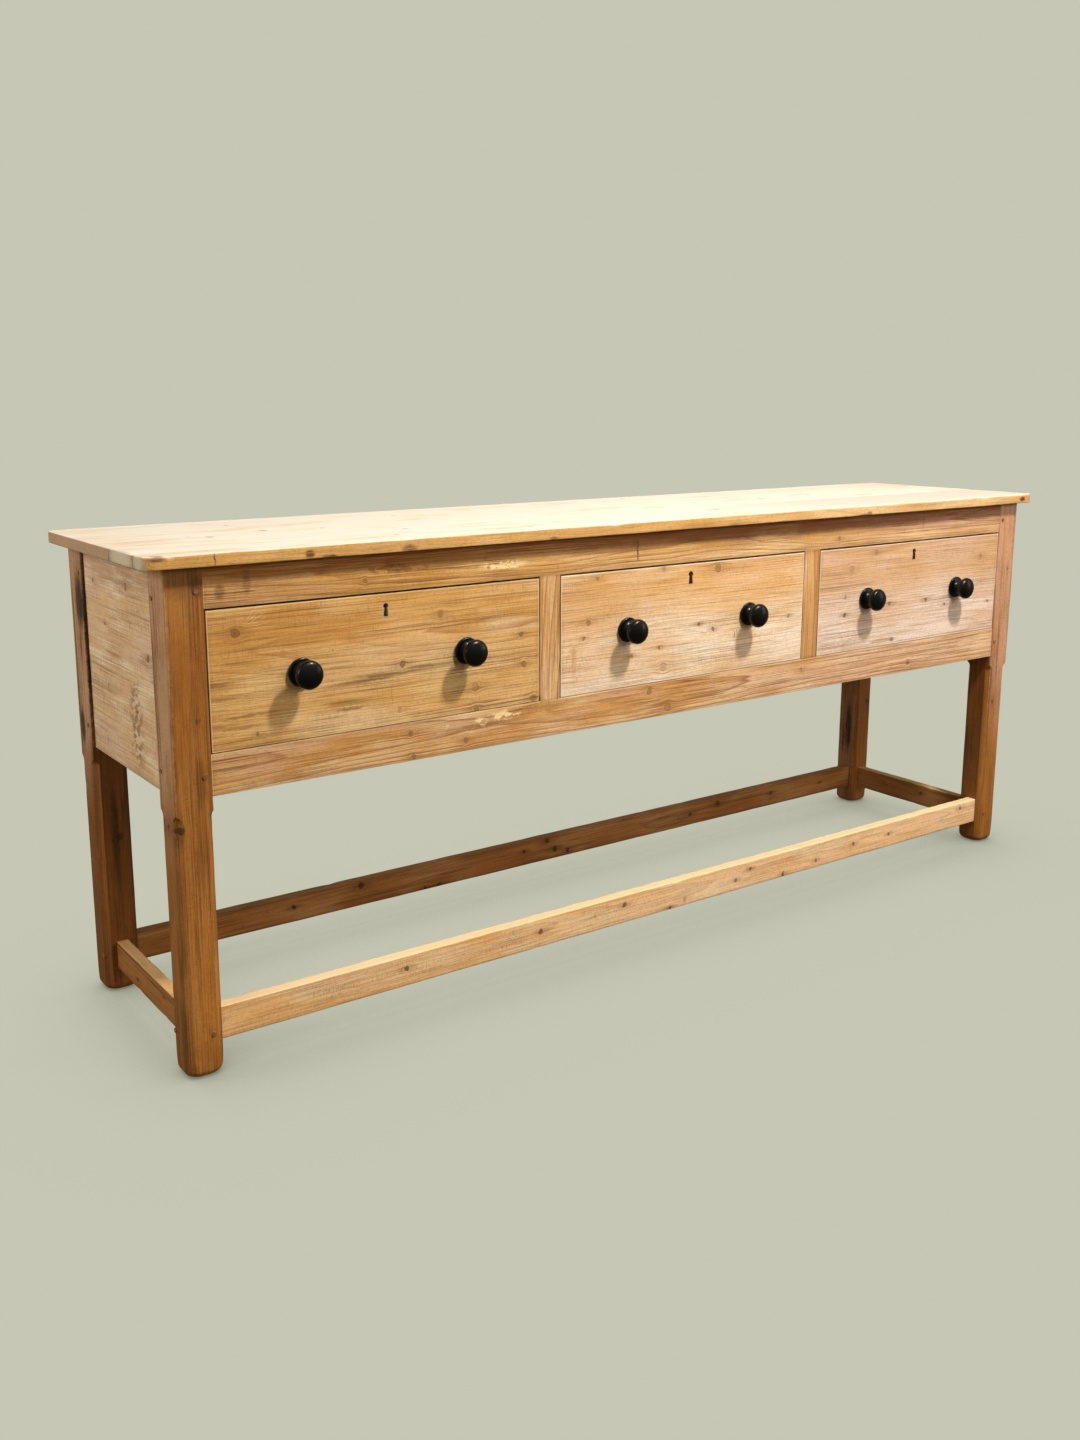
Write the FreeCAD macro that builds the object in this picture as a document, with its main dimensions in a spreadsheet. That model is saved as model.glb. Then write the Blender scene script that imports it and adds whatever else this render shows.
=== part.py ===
"""A pine dresser base: three dovetailed drawers in a pegged, mortise-and-tenon frame on stop-chamfered legs.

Millimetres, +X to the right along the front, +Y to the back, +Z up. The origin is on the floor, in the
middle of the box round the whole piece, knobs included. Every size below is a cell of the spreadsheet, and
every sketch, feature and placement is bound to those cells.
"""
import FreeCAD, Part
import Sketcher
import os
from collections import namedtuple
from types import SimpleNamespace

SIZES = [
    # The whole piece.
    ("case_length", 2078, "over the legs, left to right"),
    ("case_depth", 462, "over the legs, front to back"),
    ("overall_height", 850, "floor to the upper face of the top"),
    # Legs.
    ("leg_side", 63.5, "side of the square leg"),
    ("leg_arris", 1.5, "rounding of the leg's long edges"),
    ("chamfer_width", 11, "stop chamfer, measured on each face of the leg"),
    ("chamfer_stop_drop", 21, "from the underside of the case down to the chamfer's stop"),
    ("chamfer_stop_radius", 14, "scoop that ends the chamfer"),
    ("foot_round", 11, "worn rounding of the foot's lower edges"),
    # Top.
    ("top_thickness", 20.5, "thickness of the top's boards"),
    ("top_end_overhang", 34, "top beyond the legs at each end"),
    ("top_front_overhang", 18, "top beyond the legs at the front"),
    ("top_back_overhang", 9, "top beyond the legs at the back"),
    ("top_front_board_width", 180, "front board of the two that make the top"),
    ("top_corner_radius", 20, "rounded corners of the top"),
    ("top_upper_round", 3, "worn upper edge of the top"),
    ("top_lower_round", 1.5, "lower edge of the top"),
    # Case.
    ("case_bottom", 467.5, "floor to the underside of the case"),
    ("bottom_rail_height", 68, "rail below the drawers"),
    ("drawer_opening_height", 227.5, "between the two rails"),
    ("rail_thickness", 25, "rails and muntins, front to back"),
    ("rail_arris", 0.8, "rounding of the rails' and muntins' front edges"),
    ("left_opening", 627, "width of the left drawer's opening"),
    ("middle_opening", 629.5, "width of the middle drawer's opening"),
    ("muntin_width", 46.5, "upright between two drawers"),
    ("side_panel_thickness", 20, "board that closes each end of the case"),
    ("side_panel_inset", 7, "from the legs' outer faces to the side panel"),
    ("back_panel_thickness", 18, "board that closes the back of the case"),
    ("back_panel_inset", 7, "from the legs' back faces to the back panel"),
    ("panel_arris", 1.5, "rounding of the panels' lower edges"),
    # Stretchers.
    ("front_stretcher_bottom", 52, "floor to the front stretcher"),
    ("front_stretcher_height", 57, "depth of its section"),
    ("front_stretcher_thickness", 24.5, "thickness of its section"),
    ("front_stretcher_setback", 13.5, "from the front legs' front faces"),
    ("side_stretcher_bottom", 44.5, "floor to the side stretchers"),
    ("side_stretcher_height", 52.5, "depth of their section"),
    ("side_stretcher_thickness", 22.5, "thickness of their section"),
    ("side_stretcher_inset", 21, "from the legs' outer side faces"),
    ("back_stretcher_bottom", 44.5, "floor to the back stretcher"),
    ("back_stretcher_height", 55, "depth of its section"),
    ("back_stretcher_thickness", 22.5, "thickness of its section"),
    ("back_stretcher_inset", 27, "from the back legs' back faces"),
    ("stretcher_arris", 2.5, "worn rounding of the stretchers' long edges"),
    # Mortise-and-tenon joints and their pegs.
    ("tenon_thickness", 10, "all pegged tenons and the muntins' tenons"),
    ("tenon_shoulder", 6, "shoulder above and below a tenon"),
    ("top_rail_haunch", 15, "upper shoulder of the top rail's tenon"),
    ("rail_tenon_length", 35, "into the front legs"),
    ("muntin_tenon_length", 20, "into the rails"),
    ("panel_tenon_length", 30, "into the legs"),
    ("panel_tenon_height", 60, "each of the two tenons at an end of a panel"),
    ("panel_lower_shoulder", 10, "from a panel's lower edge to its lower tenon"),
    ("panel_upper_shoulder", 20, "from a panel's upper edge to its upper tenon"),
    ("stretcher_tenon_length", 28, "front and back stretchers, into the legs"),
    ("tenon_gap", 4, "wood left between tenons that cross in a leg"),
    ("peg_diameter", 8, "oak pegs through the tenons"),
    ("peg_setback", 12, "from the shoulder of a rail, panel or side stretcher to its peg"),
    ("stretcher_peg_setback", 18, "from the shoulder of the front or back stretcher to its peg"),
    ("front_peg_drop", 8, "front stretcher's pegs below the middle of its tenons"),
    ("peg_bite", 10, "peg beyond the tenon"),
    ("peg_proud", 1.2, "peg standing out of the leg"),
    ("peg_clearance", 0.05, "round a peg"),
    # Strips that carry, guide and hold down the drawers.
    ("runner_thickness", 22, "runners and kickers"),
    ("runner_bearing", 22, "width of a runner under a drawer's side"),
    ("guide_height", 20, "strip that keeps a drawer straight"),
    ("stub_thickness", 10, "stub tenons of the runners and kickers"),
    ("stub_shoulder", 3, "at each side of a stub tenon"),
    ("stub_gap", 1.5, "wood left between a stub and the rail's own tenon"),
    ("stop_length", 25, "block behind a drawer, front to back"),
    ("stop_width", 18, "the same block, left to right"),
    ("stop_height", 40, "the same block, upwards"),
    ("stop_clearance", 0.3, "closed drawer to its stops"),
    ("block_length", 70, "glue block under the top"),
    ("block_leg", 24, "sides of the glue block against the top and the case"),
    ("block_nose", 5, "thin edge of the glue block"),
    # Drawers.
    ("drawer_side_gap", 1, "drawer to its opening, each side"),
    ("drawer_top_gap", 2.5, "drawer to the top rail"),
    ("drawer_bottom_gap", 1, "drawer's front to the bottom rail"),
    ("drawer_lift", 0.3, "drawer's sides above the runners"),
    ("drawer_front_thickness", 22, "drawer's front"),
    ("drawer_side_thickness", 12, "drawer's sides"),
    ("drawer_back_thickness", 12, "drawer's back"),
    ("drawer_back_drop", 10, "drawer's back below the sides' upper edges"),
    ("drawer_bottom_thickness", 8, "drawer's bottom"),
    ("drawer_bottom_raise", 10, "drawer's bottom above the sides' lower edges"),
    ("drawer_arris", 1.2, "rounding of the drawer front's edges"),
    ("groove_depth", 6, "grooves that hold the drawer's bottom"),
    ("dovetail_lap", 6, "wood left in front of the half-blind dovetails"),
    ("tail_shoulder", 9, "from a tail's root to the middle of the pin beside it"),
    ("tail_flare", 3, "how much a tail widens, each side, to its tip"),
    # Knobs.
    ("knob_diameter", 47.5, "flange and head"),
    ("knob_bead", 3, "radius of the flange's edge"),
    ("knob_cove", 10.5, "radius of the hollow between the flange and the neck"),
    ("knob_back", 8, "radius of the head's back edge"),
    ("knob_shoulder", 9, "radius of the head's front edge"),
    ("knob_dome", 12, "head's widest ring to its tip"),
    ("knob_drop", 2, "knobs below the middle of the opening"),
    ("knob_spigot_diameter", 16, "spigot through the drawer's front"),
    ("knob_spigot_clearance", 0.05, "round the spigot"),
    # Locks.
    ("keyhole_diameter", 9, "round part of the keyhole"),
    ("keyhole_drop", 23, "from the top of the opening to the middle of that round part"),
    ("keyhole_slot_length", 18, "from that middle to the slot's foot"),
    ("keyhole_neck", 4.5, "slot's width at the top"),
    ("keyhole_foot", 9, "slot's width at the foot"),
    ("keyhole_wear", 1, "wood worn away all round a keyhole without a lining"),
    ("escutcheon_wall", 2, "brass lining of the left drawer's keyhole"),
    ("escutcheon_depth", 5, "the same lining, front to back"),
    ("lock_width", 60, "lock let into the drawer's front"),
    ("lock_height", 42, "the same lock, upwards"),
    ("lock_wall", 1.5, "lock's front wall"),
    ("lock_plate", 2, "lock's back plate"),
    ("lock_rim", 4, "lock's sides, foot and upper edge"),
    ("key_pin_diameter", 3, "pin that the key turns on"),
    ("bolt_width", 28, "bolt of the lock"),
    ("bolt_thickness", 5, "bolt of the lock"),
    ("bolt_slot", 14, "slot in the bolt, round the key pin"),
    ("bolt_slot_rise", 7, "from the key pin to the top of that slot"),
    ("bolt_throw", 8, "how far the bolt rises"),
    ("bolt_clearance", 0.3, "round the bolt"),
    ("strike_clearance", 1, "round the bolt in the top rail"),
]
FRONT_TAILS = 4
BACK_TAILS = 3
HALF_DIAGONAL = 0.5 ** 0.5

document = FreeCAD.newDocument("dresser_base")
sheet = document.addObject("Spreadsheet::Sheet", "Sizes")
pieces = []


class Size:
    """A length and the spreadsheet expression that gives it, so that formulas stay bound to their cells."""

    def __init__(self, text, value):
        self.text = text
        self.value = value

    def __add__(self, other):
        return Size(f"({self.text} + {text_of(other)})", self.value + number_of(other))

    def __radd__(self, other):
        return Size(f"({text_of(other)} + {self.text})", number_of(other) + self.value)

    def __sub__(self, other):
        return Size(f"({self.text} - {text_of(other)})", self.value - number_of(other))

    def __rsub__(self, other):
        return Size(f"({text_of(other)} - {self.text})", number_of(other) - self.value)

    def __mul__(self, other):
        return Size(f"({self.text} * {text_of(other)})", self.value * number_of(other))

    def __rmul__(self, other):
        return Size(f"({text_of(other)} * {self.text})", number_of(other) * self.value)

    def __truediv__(self, other):
        return Size(f"({self.text} / {text_of(other)})", self.value / number_of(other))

    def __neg__(self):
        return Size(f"(0 - {self.text})", -self.value)


def text_of(length):
    return length.text if isinstance(length, Size) else repr(length)


def number_of(length):
    return length.value if isinstance(length, Size) else length


for row, (alias, millimetres, note) in enumerate(SIZES, 1):
    sheet.set(f"A{row}", alias)
    sheet.set(f"B{row}", str(millimetres))
    sheet.setAlias(f"B{row}", alias)
    sheet.set(f"C{row}", note)
document.recompute()
sizes = SimpleNamespace(**{alias: Size("Sizes." + alias, value) for alias, value, _ in SIZES})

Disc = namedtuple("Disc", "u v radius")
Tenon = namedtuple("Tenon", "offset low high length peg_setback peg_drop", defaults=[0])


def bind(item, path, length):
    """Binds a property to the expression of a size."""
    item.setExpression(path, text_of(length))


def new_body(label, x, y, z):
    """An empty body whose label names its file, placed by three sizes."""
    body = document.addObject("PartDesign::Body", label)
    body.Label = label
    for axis, place in zip("xyz", (x, y, z)):
        bind(body, "Placement.Base." + axis, place)
    pieces.append(body)
    return body


def origin_feature(body, role):
    return next(feature for feature in body.Origin.OriginFeatures if feature.Role == role)


def new_sketch(body, plane, start):
    """A sketch parallel to the body's XY, XZ or YZ plane, moved by start along +Z, +Y or +X."""
    sketch = body.newObject("Sketcher::SketchObject", "Sketch")
    sketch.AttachmentSupport = [(origin_feature(body, plane + "_Plane"), "")]
    sketch.MapMode = "FlatFace"
    bind(sketch, "AttachmentOffset.Base.z", -start if plane == "XZ" else start)
    return sketch


def hold_point(sketch, geometry, end, u, v):
    """Fixes one point of a sketch at (u, v) from the sketch's origin."""
    for kind, axis, length in (("DistanceX", -2, u), ("DistanceY", -1, v)):
        if isinstance(length, Size):
            index = sketch.addConstraint(Sketcher.Constraint(kind, -1, 1, geometry, end, length.value))
            bind(sketch, f"Constraints[{index}]", length)
        else:
            sketch.addConstraint(Sketcher.Constraint("PointOnObject", geometry, end, axis))


def hold_radius(sketch, geometry, radius):
    index = sketch.addConstraint(Sketcher.Constraint("Radius", geometry, radius.value))
    bind(sketch, f"Constraints[{index}]", radius)


def draw_disc(sketch, disc):
    middle = FreeCAD.Vector(number_of(disc.u), number_of(disc.v), 0)
    circle = Part.Circle(middle, FreeCAD.Vector(0, 0, 1), disc.radius.value)
    geometry = sketch.addGeometry(circle, False)
    hold_radius(sketch, geometry, disc.radius)
    hold_point(sketch, geometry, 3, disc.u, disc.v)


def arc_between(first, last, radius, hollow):
    """The short arc from first to last, with its centre left of the way there, or right of it if hollow."""
    chord = last - first
    left = FreeCAD.Vector(-chord.y, chord.x, 0).normalize()
    height = max(radius ** 2 - chord.Length ** 2 / 4, 0) ** 0.5
    centre = (first + last) / 2 + left * (-height if hollow else height)
    begin, finish = (last, first) if hollow else (first, last)
    circle = Part.Circle(centre, FreeCAD.Vector(0, 0, 1), radius)
    return Part.ArcOfCircle(circle, circle.parameter(begin), circle.parameter(finish))


def draw_outline(sketch, corners):
    """A closed outline, anticlockwise through corners (u, v). A third entry is the radius of an arc to the
    next corner, and a fourth says that the arc is hollow."""
    spots = [FreeCAD.Vector(number_of(corner[0]), number_of(corner[1]), 0) for corner in corners]
    edges = []
    for index, corner in enumerate(corners):
        first = spots[index]
        last = spots[(index + 1) % len(spots)]
        hollow = len(corner) == 4
        if len(corner) == 2:
            geometry = sketch.addGeometry(Part.LineSegment(first, last), False)
        else:
            geometry = sketch.addGeometry(arc_between(first, last, corner[2].value, hollow), False)
        edges.append((geometry, 2, 1) if hollow else (geometry, 1, 2))
    for index, corner in enumerate(corners):
        geometry, begin, _ = edges[index]
        before, _, finish = edges[index - 1]
        sketch.addConstraint(Sketcher.Constraint("Coincident", before, finish, geometry, begin))
        hold_point(sketch, geometry, begin, corner[0], corner[1])
        if len(corner) > 2:
            hold_radius(sketch, geometry, corner[2])


def rectangle(u0, v0, u1, v1):
    """Corners of a rectangle, whichever way round its limits are given."""
    if number_of(u0) > number_of(u1):
        u0, u1 = u1, u0
    if number_of(v0) > number_of(v1):
        v0, v1 = v1, v0
    return [(u0, v0), (u1, v0), (u1, v1), (u0, v1)]


def prism(body, kind, plane, start, length, outlines):
    """A Pad or Pocket of outlines on a plane, from start to start + length along +X, +Y or +Z."""
    sketch = new_sketch(body, plane, start)
    for outline in outlines:
        draw = draw_disc if isinstance(outline, Disc) else draw_outline
        draw(sketch, outline)
    feature = body.newObject("PartDesign::" + kind, kind)
    feature.Profile = sketch
    bind(feature, "Length", length)
    feature.Reversed = (plane == "XZ") == (kind == "Pad")
    return feature


def pad(body, plane, start, length, *outlines):
    return prism(body, "Pad", plane, start, length, outlines)


def pocket(body, plane, start, length, *outlines):
    return prism(body, "Pocket", plane, start, length, outlines)


def round_edges(body, radius, chosen):
    """Rounds the edges of the body so far that chosen picks, from an edge's box and the body's box."""
    document.recompute()
    tip = body.Tip
    whole = tip.Shape.BoundBox
    edges = enumerate(tip.Shape.Edges, 1)
    names = [f"Edge{number}" for number, edge in edges if chosen(edge.BoundBox, whole)]
    fillet = body.newObject("PartDesign::Fillet", "Fillet")
    fillet.Base = (tip, names)
    bind(fillet, "Radius", radius)


def near(first, second):
    return abs(first - second) < 1e-4


def is_long(edge, whole):
    """Whether an edge runs the whole length of a board that lies along X or Y."""
    return near(max(edge.XLength, edge.YLength), max(whole.XLength, whole.YLength))


def is_upright(edge, whole):
    return near(edge.ZLength, whole.ZLength)


def on_front(edge, whole):
    return near(edge.YMin, whole.YMin) and near(edge.YMax, whole.YMin)


def on_front_upright(edge, whole):
    return on_front(edge, whole) and is_upright(edge, whole)


def is_long_below(edge, whole):
    return is_long(edge, whole) and near(edge.ZMax, whole.ZMin)


# Places that several pieces share. Heights are above the floor, depths are behind the case's front plane.
knob_radius = sizes.knob_diameter / 2
knob_projection = 3 * sizes.knob_bead + 2 * sizes.knob_cove + sizes.knob_dome
front_plane = (knob_projection - sizes.case_depth - sizes.top_back_overhang) / 2
leg_height = sizes.overall_height - sizes.top_thickness
drawer_floor = sizes.case_bottom + sizes.bottom_rail_height
drawer_head = drawer_floor + sizes.drawer_opening_height
top_rail_height = leg_height - drawer_head
panel_height = leg_height - sizes.case_bottom
span = sizes.case_length - 2 * sizes.leg_side
side_length = sizes.case_depth - 2 * sizes.leg_side
back_panel_front = sizes.case_depth - sizes.back_panel_inset - sizes.back_panel_thickness
right_opening = span - sizes.left_opening - sizes.middle_opening - 2 * sizes.muntin_width
muntin_places = {
    "left": sizes.left_opening + sizes.muntin_width / 2 - span / 2,
    "right": span / 2 - right_opening - sizes.muntin_width / 2,
}
drawer_places = {
    "left": (sizes.left_opening / 2 - span / 2, sizes.left_opening),
    "middle": ((muntin_places["left"] + muntin_places["right"]) / 2, sizes.middle_opening),
    "right": (span / 2 - right_opening / 2, right_opening),
}

# Tenons: offset from the leg's outer face, lower and upper limits above the floor, length, the way from the
# shoulder to the peg, and how far the peg is below the tenon's middle. A side stretcher's tenon stops short
# of the long stretcher's that crosses it.
rail_tenon_offset = (sizes.rail_thickness - sizes.tenon_thickness) / 2
side_panel_tenon_offset = sizes.side_panel_inset + (sizes.side_panel_thickness - sizes.tenon_thickness) / 2
back_panel_tenon_offset = sizes.back_panel_inset + (sizes.back_panel_thickness - sizes.tenon_thickness) / 2
top_rail_tenon = Tenon(
    rail_tenon_offset,
    drawer_head + sizes.tenon_shoulder,
    leg_height - sizes.top_rail_haunch,
    sizes.rail_tenon_length,
    sizes.peg_setback,
)
bottom_rail_tenon = Tenon(
    rail_tenon_offset,
    sizes.case_bottom + sizes.tenon_shoulder,
    drawer_floor - sizes.tenon_shoulder,
    sizes.rail_tenon_length,
    sizes.peg_setback,
)


def panel_tenons(offset):
    """The lower and the upper tenon at an end of a panel."""
    height = sizes.panel_tenon_height
    lower = sizes.case_bottom + sizes.panel_lower_shoulder
    upper = leg_height - sizes.panel_upper_shoulder
    return [
        Tenon(offset, low, low + height, sizes.panel_tenon_length, sizes.peg_setback)
        for low in (lower, upper - height)
    ]


def stretcher_tenon(inset, thickness, bottom, height, length, peg_setback, peg_drop=0):
    offset = inset + (thickness - sizes.tenon_thickness) / 2
    low = bottom + sizes.tenon_shoulder
    high = bottom + height - sizes.tenon_shoulder
    return Tenon(offset, low, high, length, peg_setback, peg_drop)


front_stretcher_tenon = stretcher_tenon(
    sizes.front_stretcher_setback,
    sizes.front_stretcher_thickness,
    sizes.front_stretcher_bottom,
    sizes.front_stretcher_height,
    sizes.stretcher_tenon_length,
    sizes.stretcher_peg_setback,
    sizes.front_peg_drop,
)
back_stretcher_tenon = stretcher_tenon(
    sizes.back_stretcher_inset,
    sizes.back_stretcher_thickness,
    sizes.back_stretcher_bottom,
    sizes.back_stretcher_height,
    sizes.stretcher_tenon_length,
    sizes.stretcher_peg_setback,
)


def side_stretcher_tenon(crossing):
    """The side stretcher's tenon into a leg where another tenon crosses it."""
    length = sizes.leg_side - crossing.offset - sizes.tenon_thickness - sizes.tenon_gap
    return stretcher_tenon(
        sizes.side_stretcher_inset,
        sizes.side_stretcher_thickness,
        sizes.side_stretcher_bottom,
        sizes.side_stretcher_height,
        length,
        sizes.peg_setback,
    )


side_panel_tenons = panel_tenons(side_panel_tenon_offset)
back_panel_tenons = panel_tenons(back_panel_tenon_offset)
# Tenons that enter a leg along X, and along Y, for the front and the back legs.
leg_tenons = {
    "front": (
        [top_rail_tenon, bottom_rail_tenon, front_stretcher_tenon],
        side_panel_tenons + [side_stretcher_tenon(front_stretcher_tenon)],
    ),
    "back": (
        back_panel_tenons + [back_stretcher_tenon],
        side_panel_tenons + [side_stretcher_tenon(back_stretcher_tenon)],
    ),
}
LEFT_RIGHT = {"left": -1, "right": 1}
FRONT_BACK = {"front": -1, "back": 1}


def peg_level(tenon):
    return (tenon.low + tenon.high) / 2 - tenon.peg_drop


def peg_depth(tenon):
    """From the leg's outer face to the inner end of the tenon's peg."""
    return tenon.offset + sizes.tenon_thickness + sizes.peg_bite


# Legs: square posts, chamfered on all four corners from a scooped stop below the case to the rounded foot,
# with a mortise for every tenon and a blind hole for every peg.
def chamfer_corners(body):
    """Cuts the stop chamfer on one corner, in the leg's diagonal plane, and repeats it on the other three."""
    sketch = body.newObject("Sketcher::SketchObject", "Sketch")
    sketch.AttachmentSupport = [(origin_feature(body, "XZ_Plane"), "")]
    sketch.MapMode = "FlatFace"
    turn = FreeCAD.Rotation(FreeCAD.Vector(0, 1, 0), 45)
    sketch.AttachmentOffset = FreeCAD.Placement(FreeCAD.Vector(0, 0, 0), turn)
    flat = (sizes.leg_side - sizes.chamfer_width) * HALF_DIAGONAL
    outside = flat + sizes.chamfer_stop_radius
    stop = sizes.case_bottom - sizes.chamfer_stop_drop
    below = -sizes.foot_round
    draw_outline(sketch, [
        (flat, below),
        (outside, below),
        (outside, stop, sizes.chamfer_stop_radius),
        (flat, stop - sizes.chamfer_stop_radius),
    ])
    cut = body.newObject("PartDesign::Pocket", "Chamfer")
    cut.Profile = sketch
    cut.SideType = "Symmetric"
    bind(cut, "Length", 2 * sizes.leg_side)
    pattern = body.newObject("PartDesign::PolarPattern", "Chamfers")
    pattern.Originals = [cut]
    pattern.Axis = (origin_feature(body, "Z_Axis"), [""])
    pattern.Angle = 360
    pattern.Occurrences = 4
    body.Tip = pattern


def make_leg(end, side):
    """A leg about its own axis, with the mortises on the two faces that look into the case."""
    half = sizes.leg_side / 2
    to_side = LEFT_RIGHT[side]
    to_end = FRONT_BACK[end]
    body = new_body(
        f"{end}_{side}_leg",
        to_side * (sizes.case_length / 2 - half),
        front_plane + (half if end == "front" else sizes.case_depth - half),
        0,
    )
    pad(body, "XY", 0, leg_height, rectangle(-half, -half, half, half))
    round_edges(body, sizes.leg_arris, is_upright)
    chamfer_corners(body)
    round_edges(body, sizes.foot_round, lambda edge, whole: near(edge.ZMax, whole.ZMin))
    along_x, along_y = leg_tenons[end]
    joints = [("YZ", to_side, to_end, tenon) for tenon in along_x]
    joints += [("XZ", to_end, to_side, tenon) for tenon in along_y]
    for plane, way, across, tenon in joints:
        mortise_start = half - tenon.length if way < 0 else -half
        near_face = across * (half - tenon.offset)
        far_face = across * (half - tenon.offset - sizes.tenon_thickness)
        mortise = rectangle(near_face, tenon.low, far_face, tenon.high)
        pocket(body, plane, mortise_start, tenon.length, mortise)
        hole = Disc(
            -way * (half - tenon.peg_setback),
            peg_level(tenon),
            sizes.peg_diameter / 2 + sizes.peg_clearance,
        )
        hole_start = -half if across < 0 else half - peg_depth(tenon)
        pocket(body, "XZ" if plane == "YZ" else "YZ", hole_start, peg_depth(tenon), hole)


for end_name in FRONT_BACK:
    for side_name in LEFT_RIGHT:
        make_leg(end_name, side_name)


# Strips that carry, guide and hold down the drawers: their plan, behind the rails' back faces.
strip_length = back_panel_front - sizes.rail_thickness
strip_y = front_plane + sizes.rail_thickness
leg_back = sizes.leg_side - sizes.rail_thickness
far_leg_front = sizes.case_depth - sizes.leg_side - sizes.rail_thickness
end_strip_reach = sizes.leg_side - sizes.side_panel_inset - sizes.side_panel_thickness
stub_length = rail_tenon_offset - sizes.stub_gap
runner_bottom = drawer_floor - sizes.runner_thickness
STRIP_LEVELS = {"runner": runner_bottom, "kicker": drawer_head}


def stub_limits(side, place):
    """Left and right limits of a strip's stub tenons, from the middle of the case."""
    if place == "end":
        inwards = -LEFT_RIGHT[side]
        edge = -inwards * span / 2
        return (
            edge + inwards * sizes.stub_shoulder,
            edge + inwards * (sizes.runner_bearing - sizes.stub_shoulder),
        )
    half = sizes.muntin_width / 2 + sizes.runner_bearing - sizes.stub_shoulder
    return muntin_places[side] - half, muntin_places[side] + half


def stub_mortises(level):
    """Outlines, in a front view, of the four mortises for the stubs of strips whose underside is at level."""
    low = level + (sizes.runner_thickness - sizes.stub_thickness) / 2
    outlines = []
    for side in LEFT_RIGHT:
        for place in ("end", "muntin"):
            first, last = stub_limits(side, place)
            outlines.append(rectangle(first, low, last, low + sizes.stub_thickness))
    return outlines


def make_strip(side, place, kind):
    """A runner or a kicker. One at an end is notched round the legs to reach the side panel."""
    inwards = -LEFT_RIGHT[side]
    middle = -inwards * span / 2 if place == "end" else muntin_places[side]
    body = new_body(f"{side}_{place}_{kind}", middle, strip_y, STRIP_LEVELS[kind])
    if place == "end":
        inner = inwards * sizes.runner_bearing
        outer = -inwards * end_strip_reach
        plan = [
            (0, 0), (inner, 0), (inner, strip_length), (0, strip_length),
            (0, far_leg_front), (outer, far_leg_front), (outer, leg_back), (0, leg_back),
        ]
    else:
        half = sizes.muntin_width / 2 + sizes.runner_bearing
        plan = rectangle(-half, 0, half, strip_length)
    pad(body, "XY", 0, sizes.runner_thickness, plan)
    first, last = stub_limits(side, place)
    stub_low = (sizes.runner_thickness - sizes.stub_thickness) / 2
    stub = rectangle(first - middle, -stub_length, last - middle, strip_length + stub_length)
    pad(body, "XY", stub_low, sizes.stub_thickness, stub)


def make_guide(side, place):
    """A strip on the runner that keeps the drawer's side in line with the leg or the muntin."""
    inwards = -LEFT_RIGHT[side]
    middle = -inwards * span / 2 if place == "end" else muntin_places[side]
    body = new_body(f"{side}_{place}_guide", middle, strip_y, drawer_floor)
    if place == "end":
        plan = rectangle(-inwards * end_strip_reach, leg_back, 0, far_leg_front)
    else:
        plan = rectangle(-sizes.muntin_width / 2, 0, sizes.muntin_width / 2, strip_length)
    pad(body, "XY", 0, sizes.guide_height, plan)


for side_name in LEFT_RIGHT:
    for place_name in ("end", "muntin"):
        for kind_name in STRIP_LEVELS:
            make_strip(side_name, place_name, kind_name)
        make_guide(side_name, place_name)


# Rails and muntins: the frame round the drawers. The rails carry the muntins' tenons, the strips' stubs and,
# in the top rail, a strike for each lock's bolt.
lock_depth = sizes.lock_wall + sizes.bolt_thickness + 2 * sizes.bolt_clearance + sizes.lock_plate
lock_front = sizes.drawer_front_thickness - lock_depth
bolt_front = lock_front + sizes.lock_wall + sizes.bolt_clearance


def make_rail(label, bottom, height, tenon, level, muntin_mortise):
    """A rail between the front legs, with tenons, peg holes, muntin mortises and stub mortises."""
    body = new_body(label, 0, front_plane, bottom)
    pad(body, "XZ", 0, sizes.rail_thickness, rectangle(-span / 2, 0, span / 2, height))
    round_edges(body, sizes.rail_arris, on_front)
    reach = span / 2 + tenon.length
    cheeks = rectangle(-reach, tenon.low - bottom, reach, tenon.high - bottom)
    pad(body, "XZ", tenon.offset, sizes.tenon_thickness, cheeks)
    radius = sizes.peg_diameter / 2 + sizes.peg_clearance
    peg_x = span / 2 + tenon.peg_setback
    holes = [Disc(way * peg_x, peg_level(tenon) - bottom, radius) for way in (-1, 1)]
    pocket(body, "XZ", tenon.offset, sizes.tenon_thickness, *holes)
    half = sizes.muntin_width / 2 - sizes.tenon_shoulder
    back = rail_tenon_offset + sizes.tenon_thickness
    mortises = [rectangle(x - half, rail_tenon_offset, x + half, back) for x in muntin_places.values()]
    pocket(body, "XY", muntin_mortise, sizes.muntin_tenon_length, *mortises)
    pocket(body, "XZ", sizes.rail_thickness - stub_length, stub_length, *stub_mortises(level - bottom))
    return body


make_rail(
    "bottom_rail",
    sizes.case_bottom,
    sizes.bottom_rail_height,
    bottom_rail_tenon,
    runner_bottom,
    sizes.bottom_rail_height - sizes.muntin_tenon_length,
)
top_rail = make_rail("top_rail", drawer_head, top_rail_height, top_rail_tenon, drawer_head, 0)
strikes = []
for drawer_x, _ in drawer_places.values():
    half_strike = sizes.bolt_width / 2 + sizes.strike_clearance
    strikes.append(rectangle(
        drawer_x - half_strike,
        bolt_front - sizes.strike_clearance,
        drawer_x + half_strike,
        bolt_front + sizes.bolt_thickness + sizes.strike_clearance,
    ))
pocket(top_rail, "XY", 0, sizes.bolt_throw, *strikes)

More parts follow.
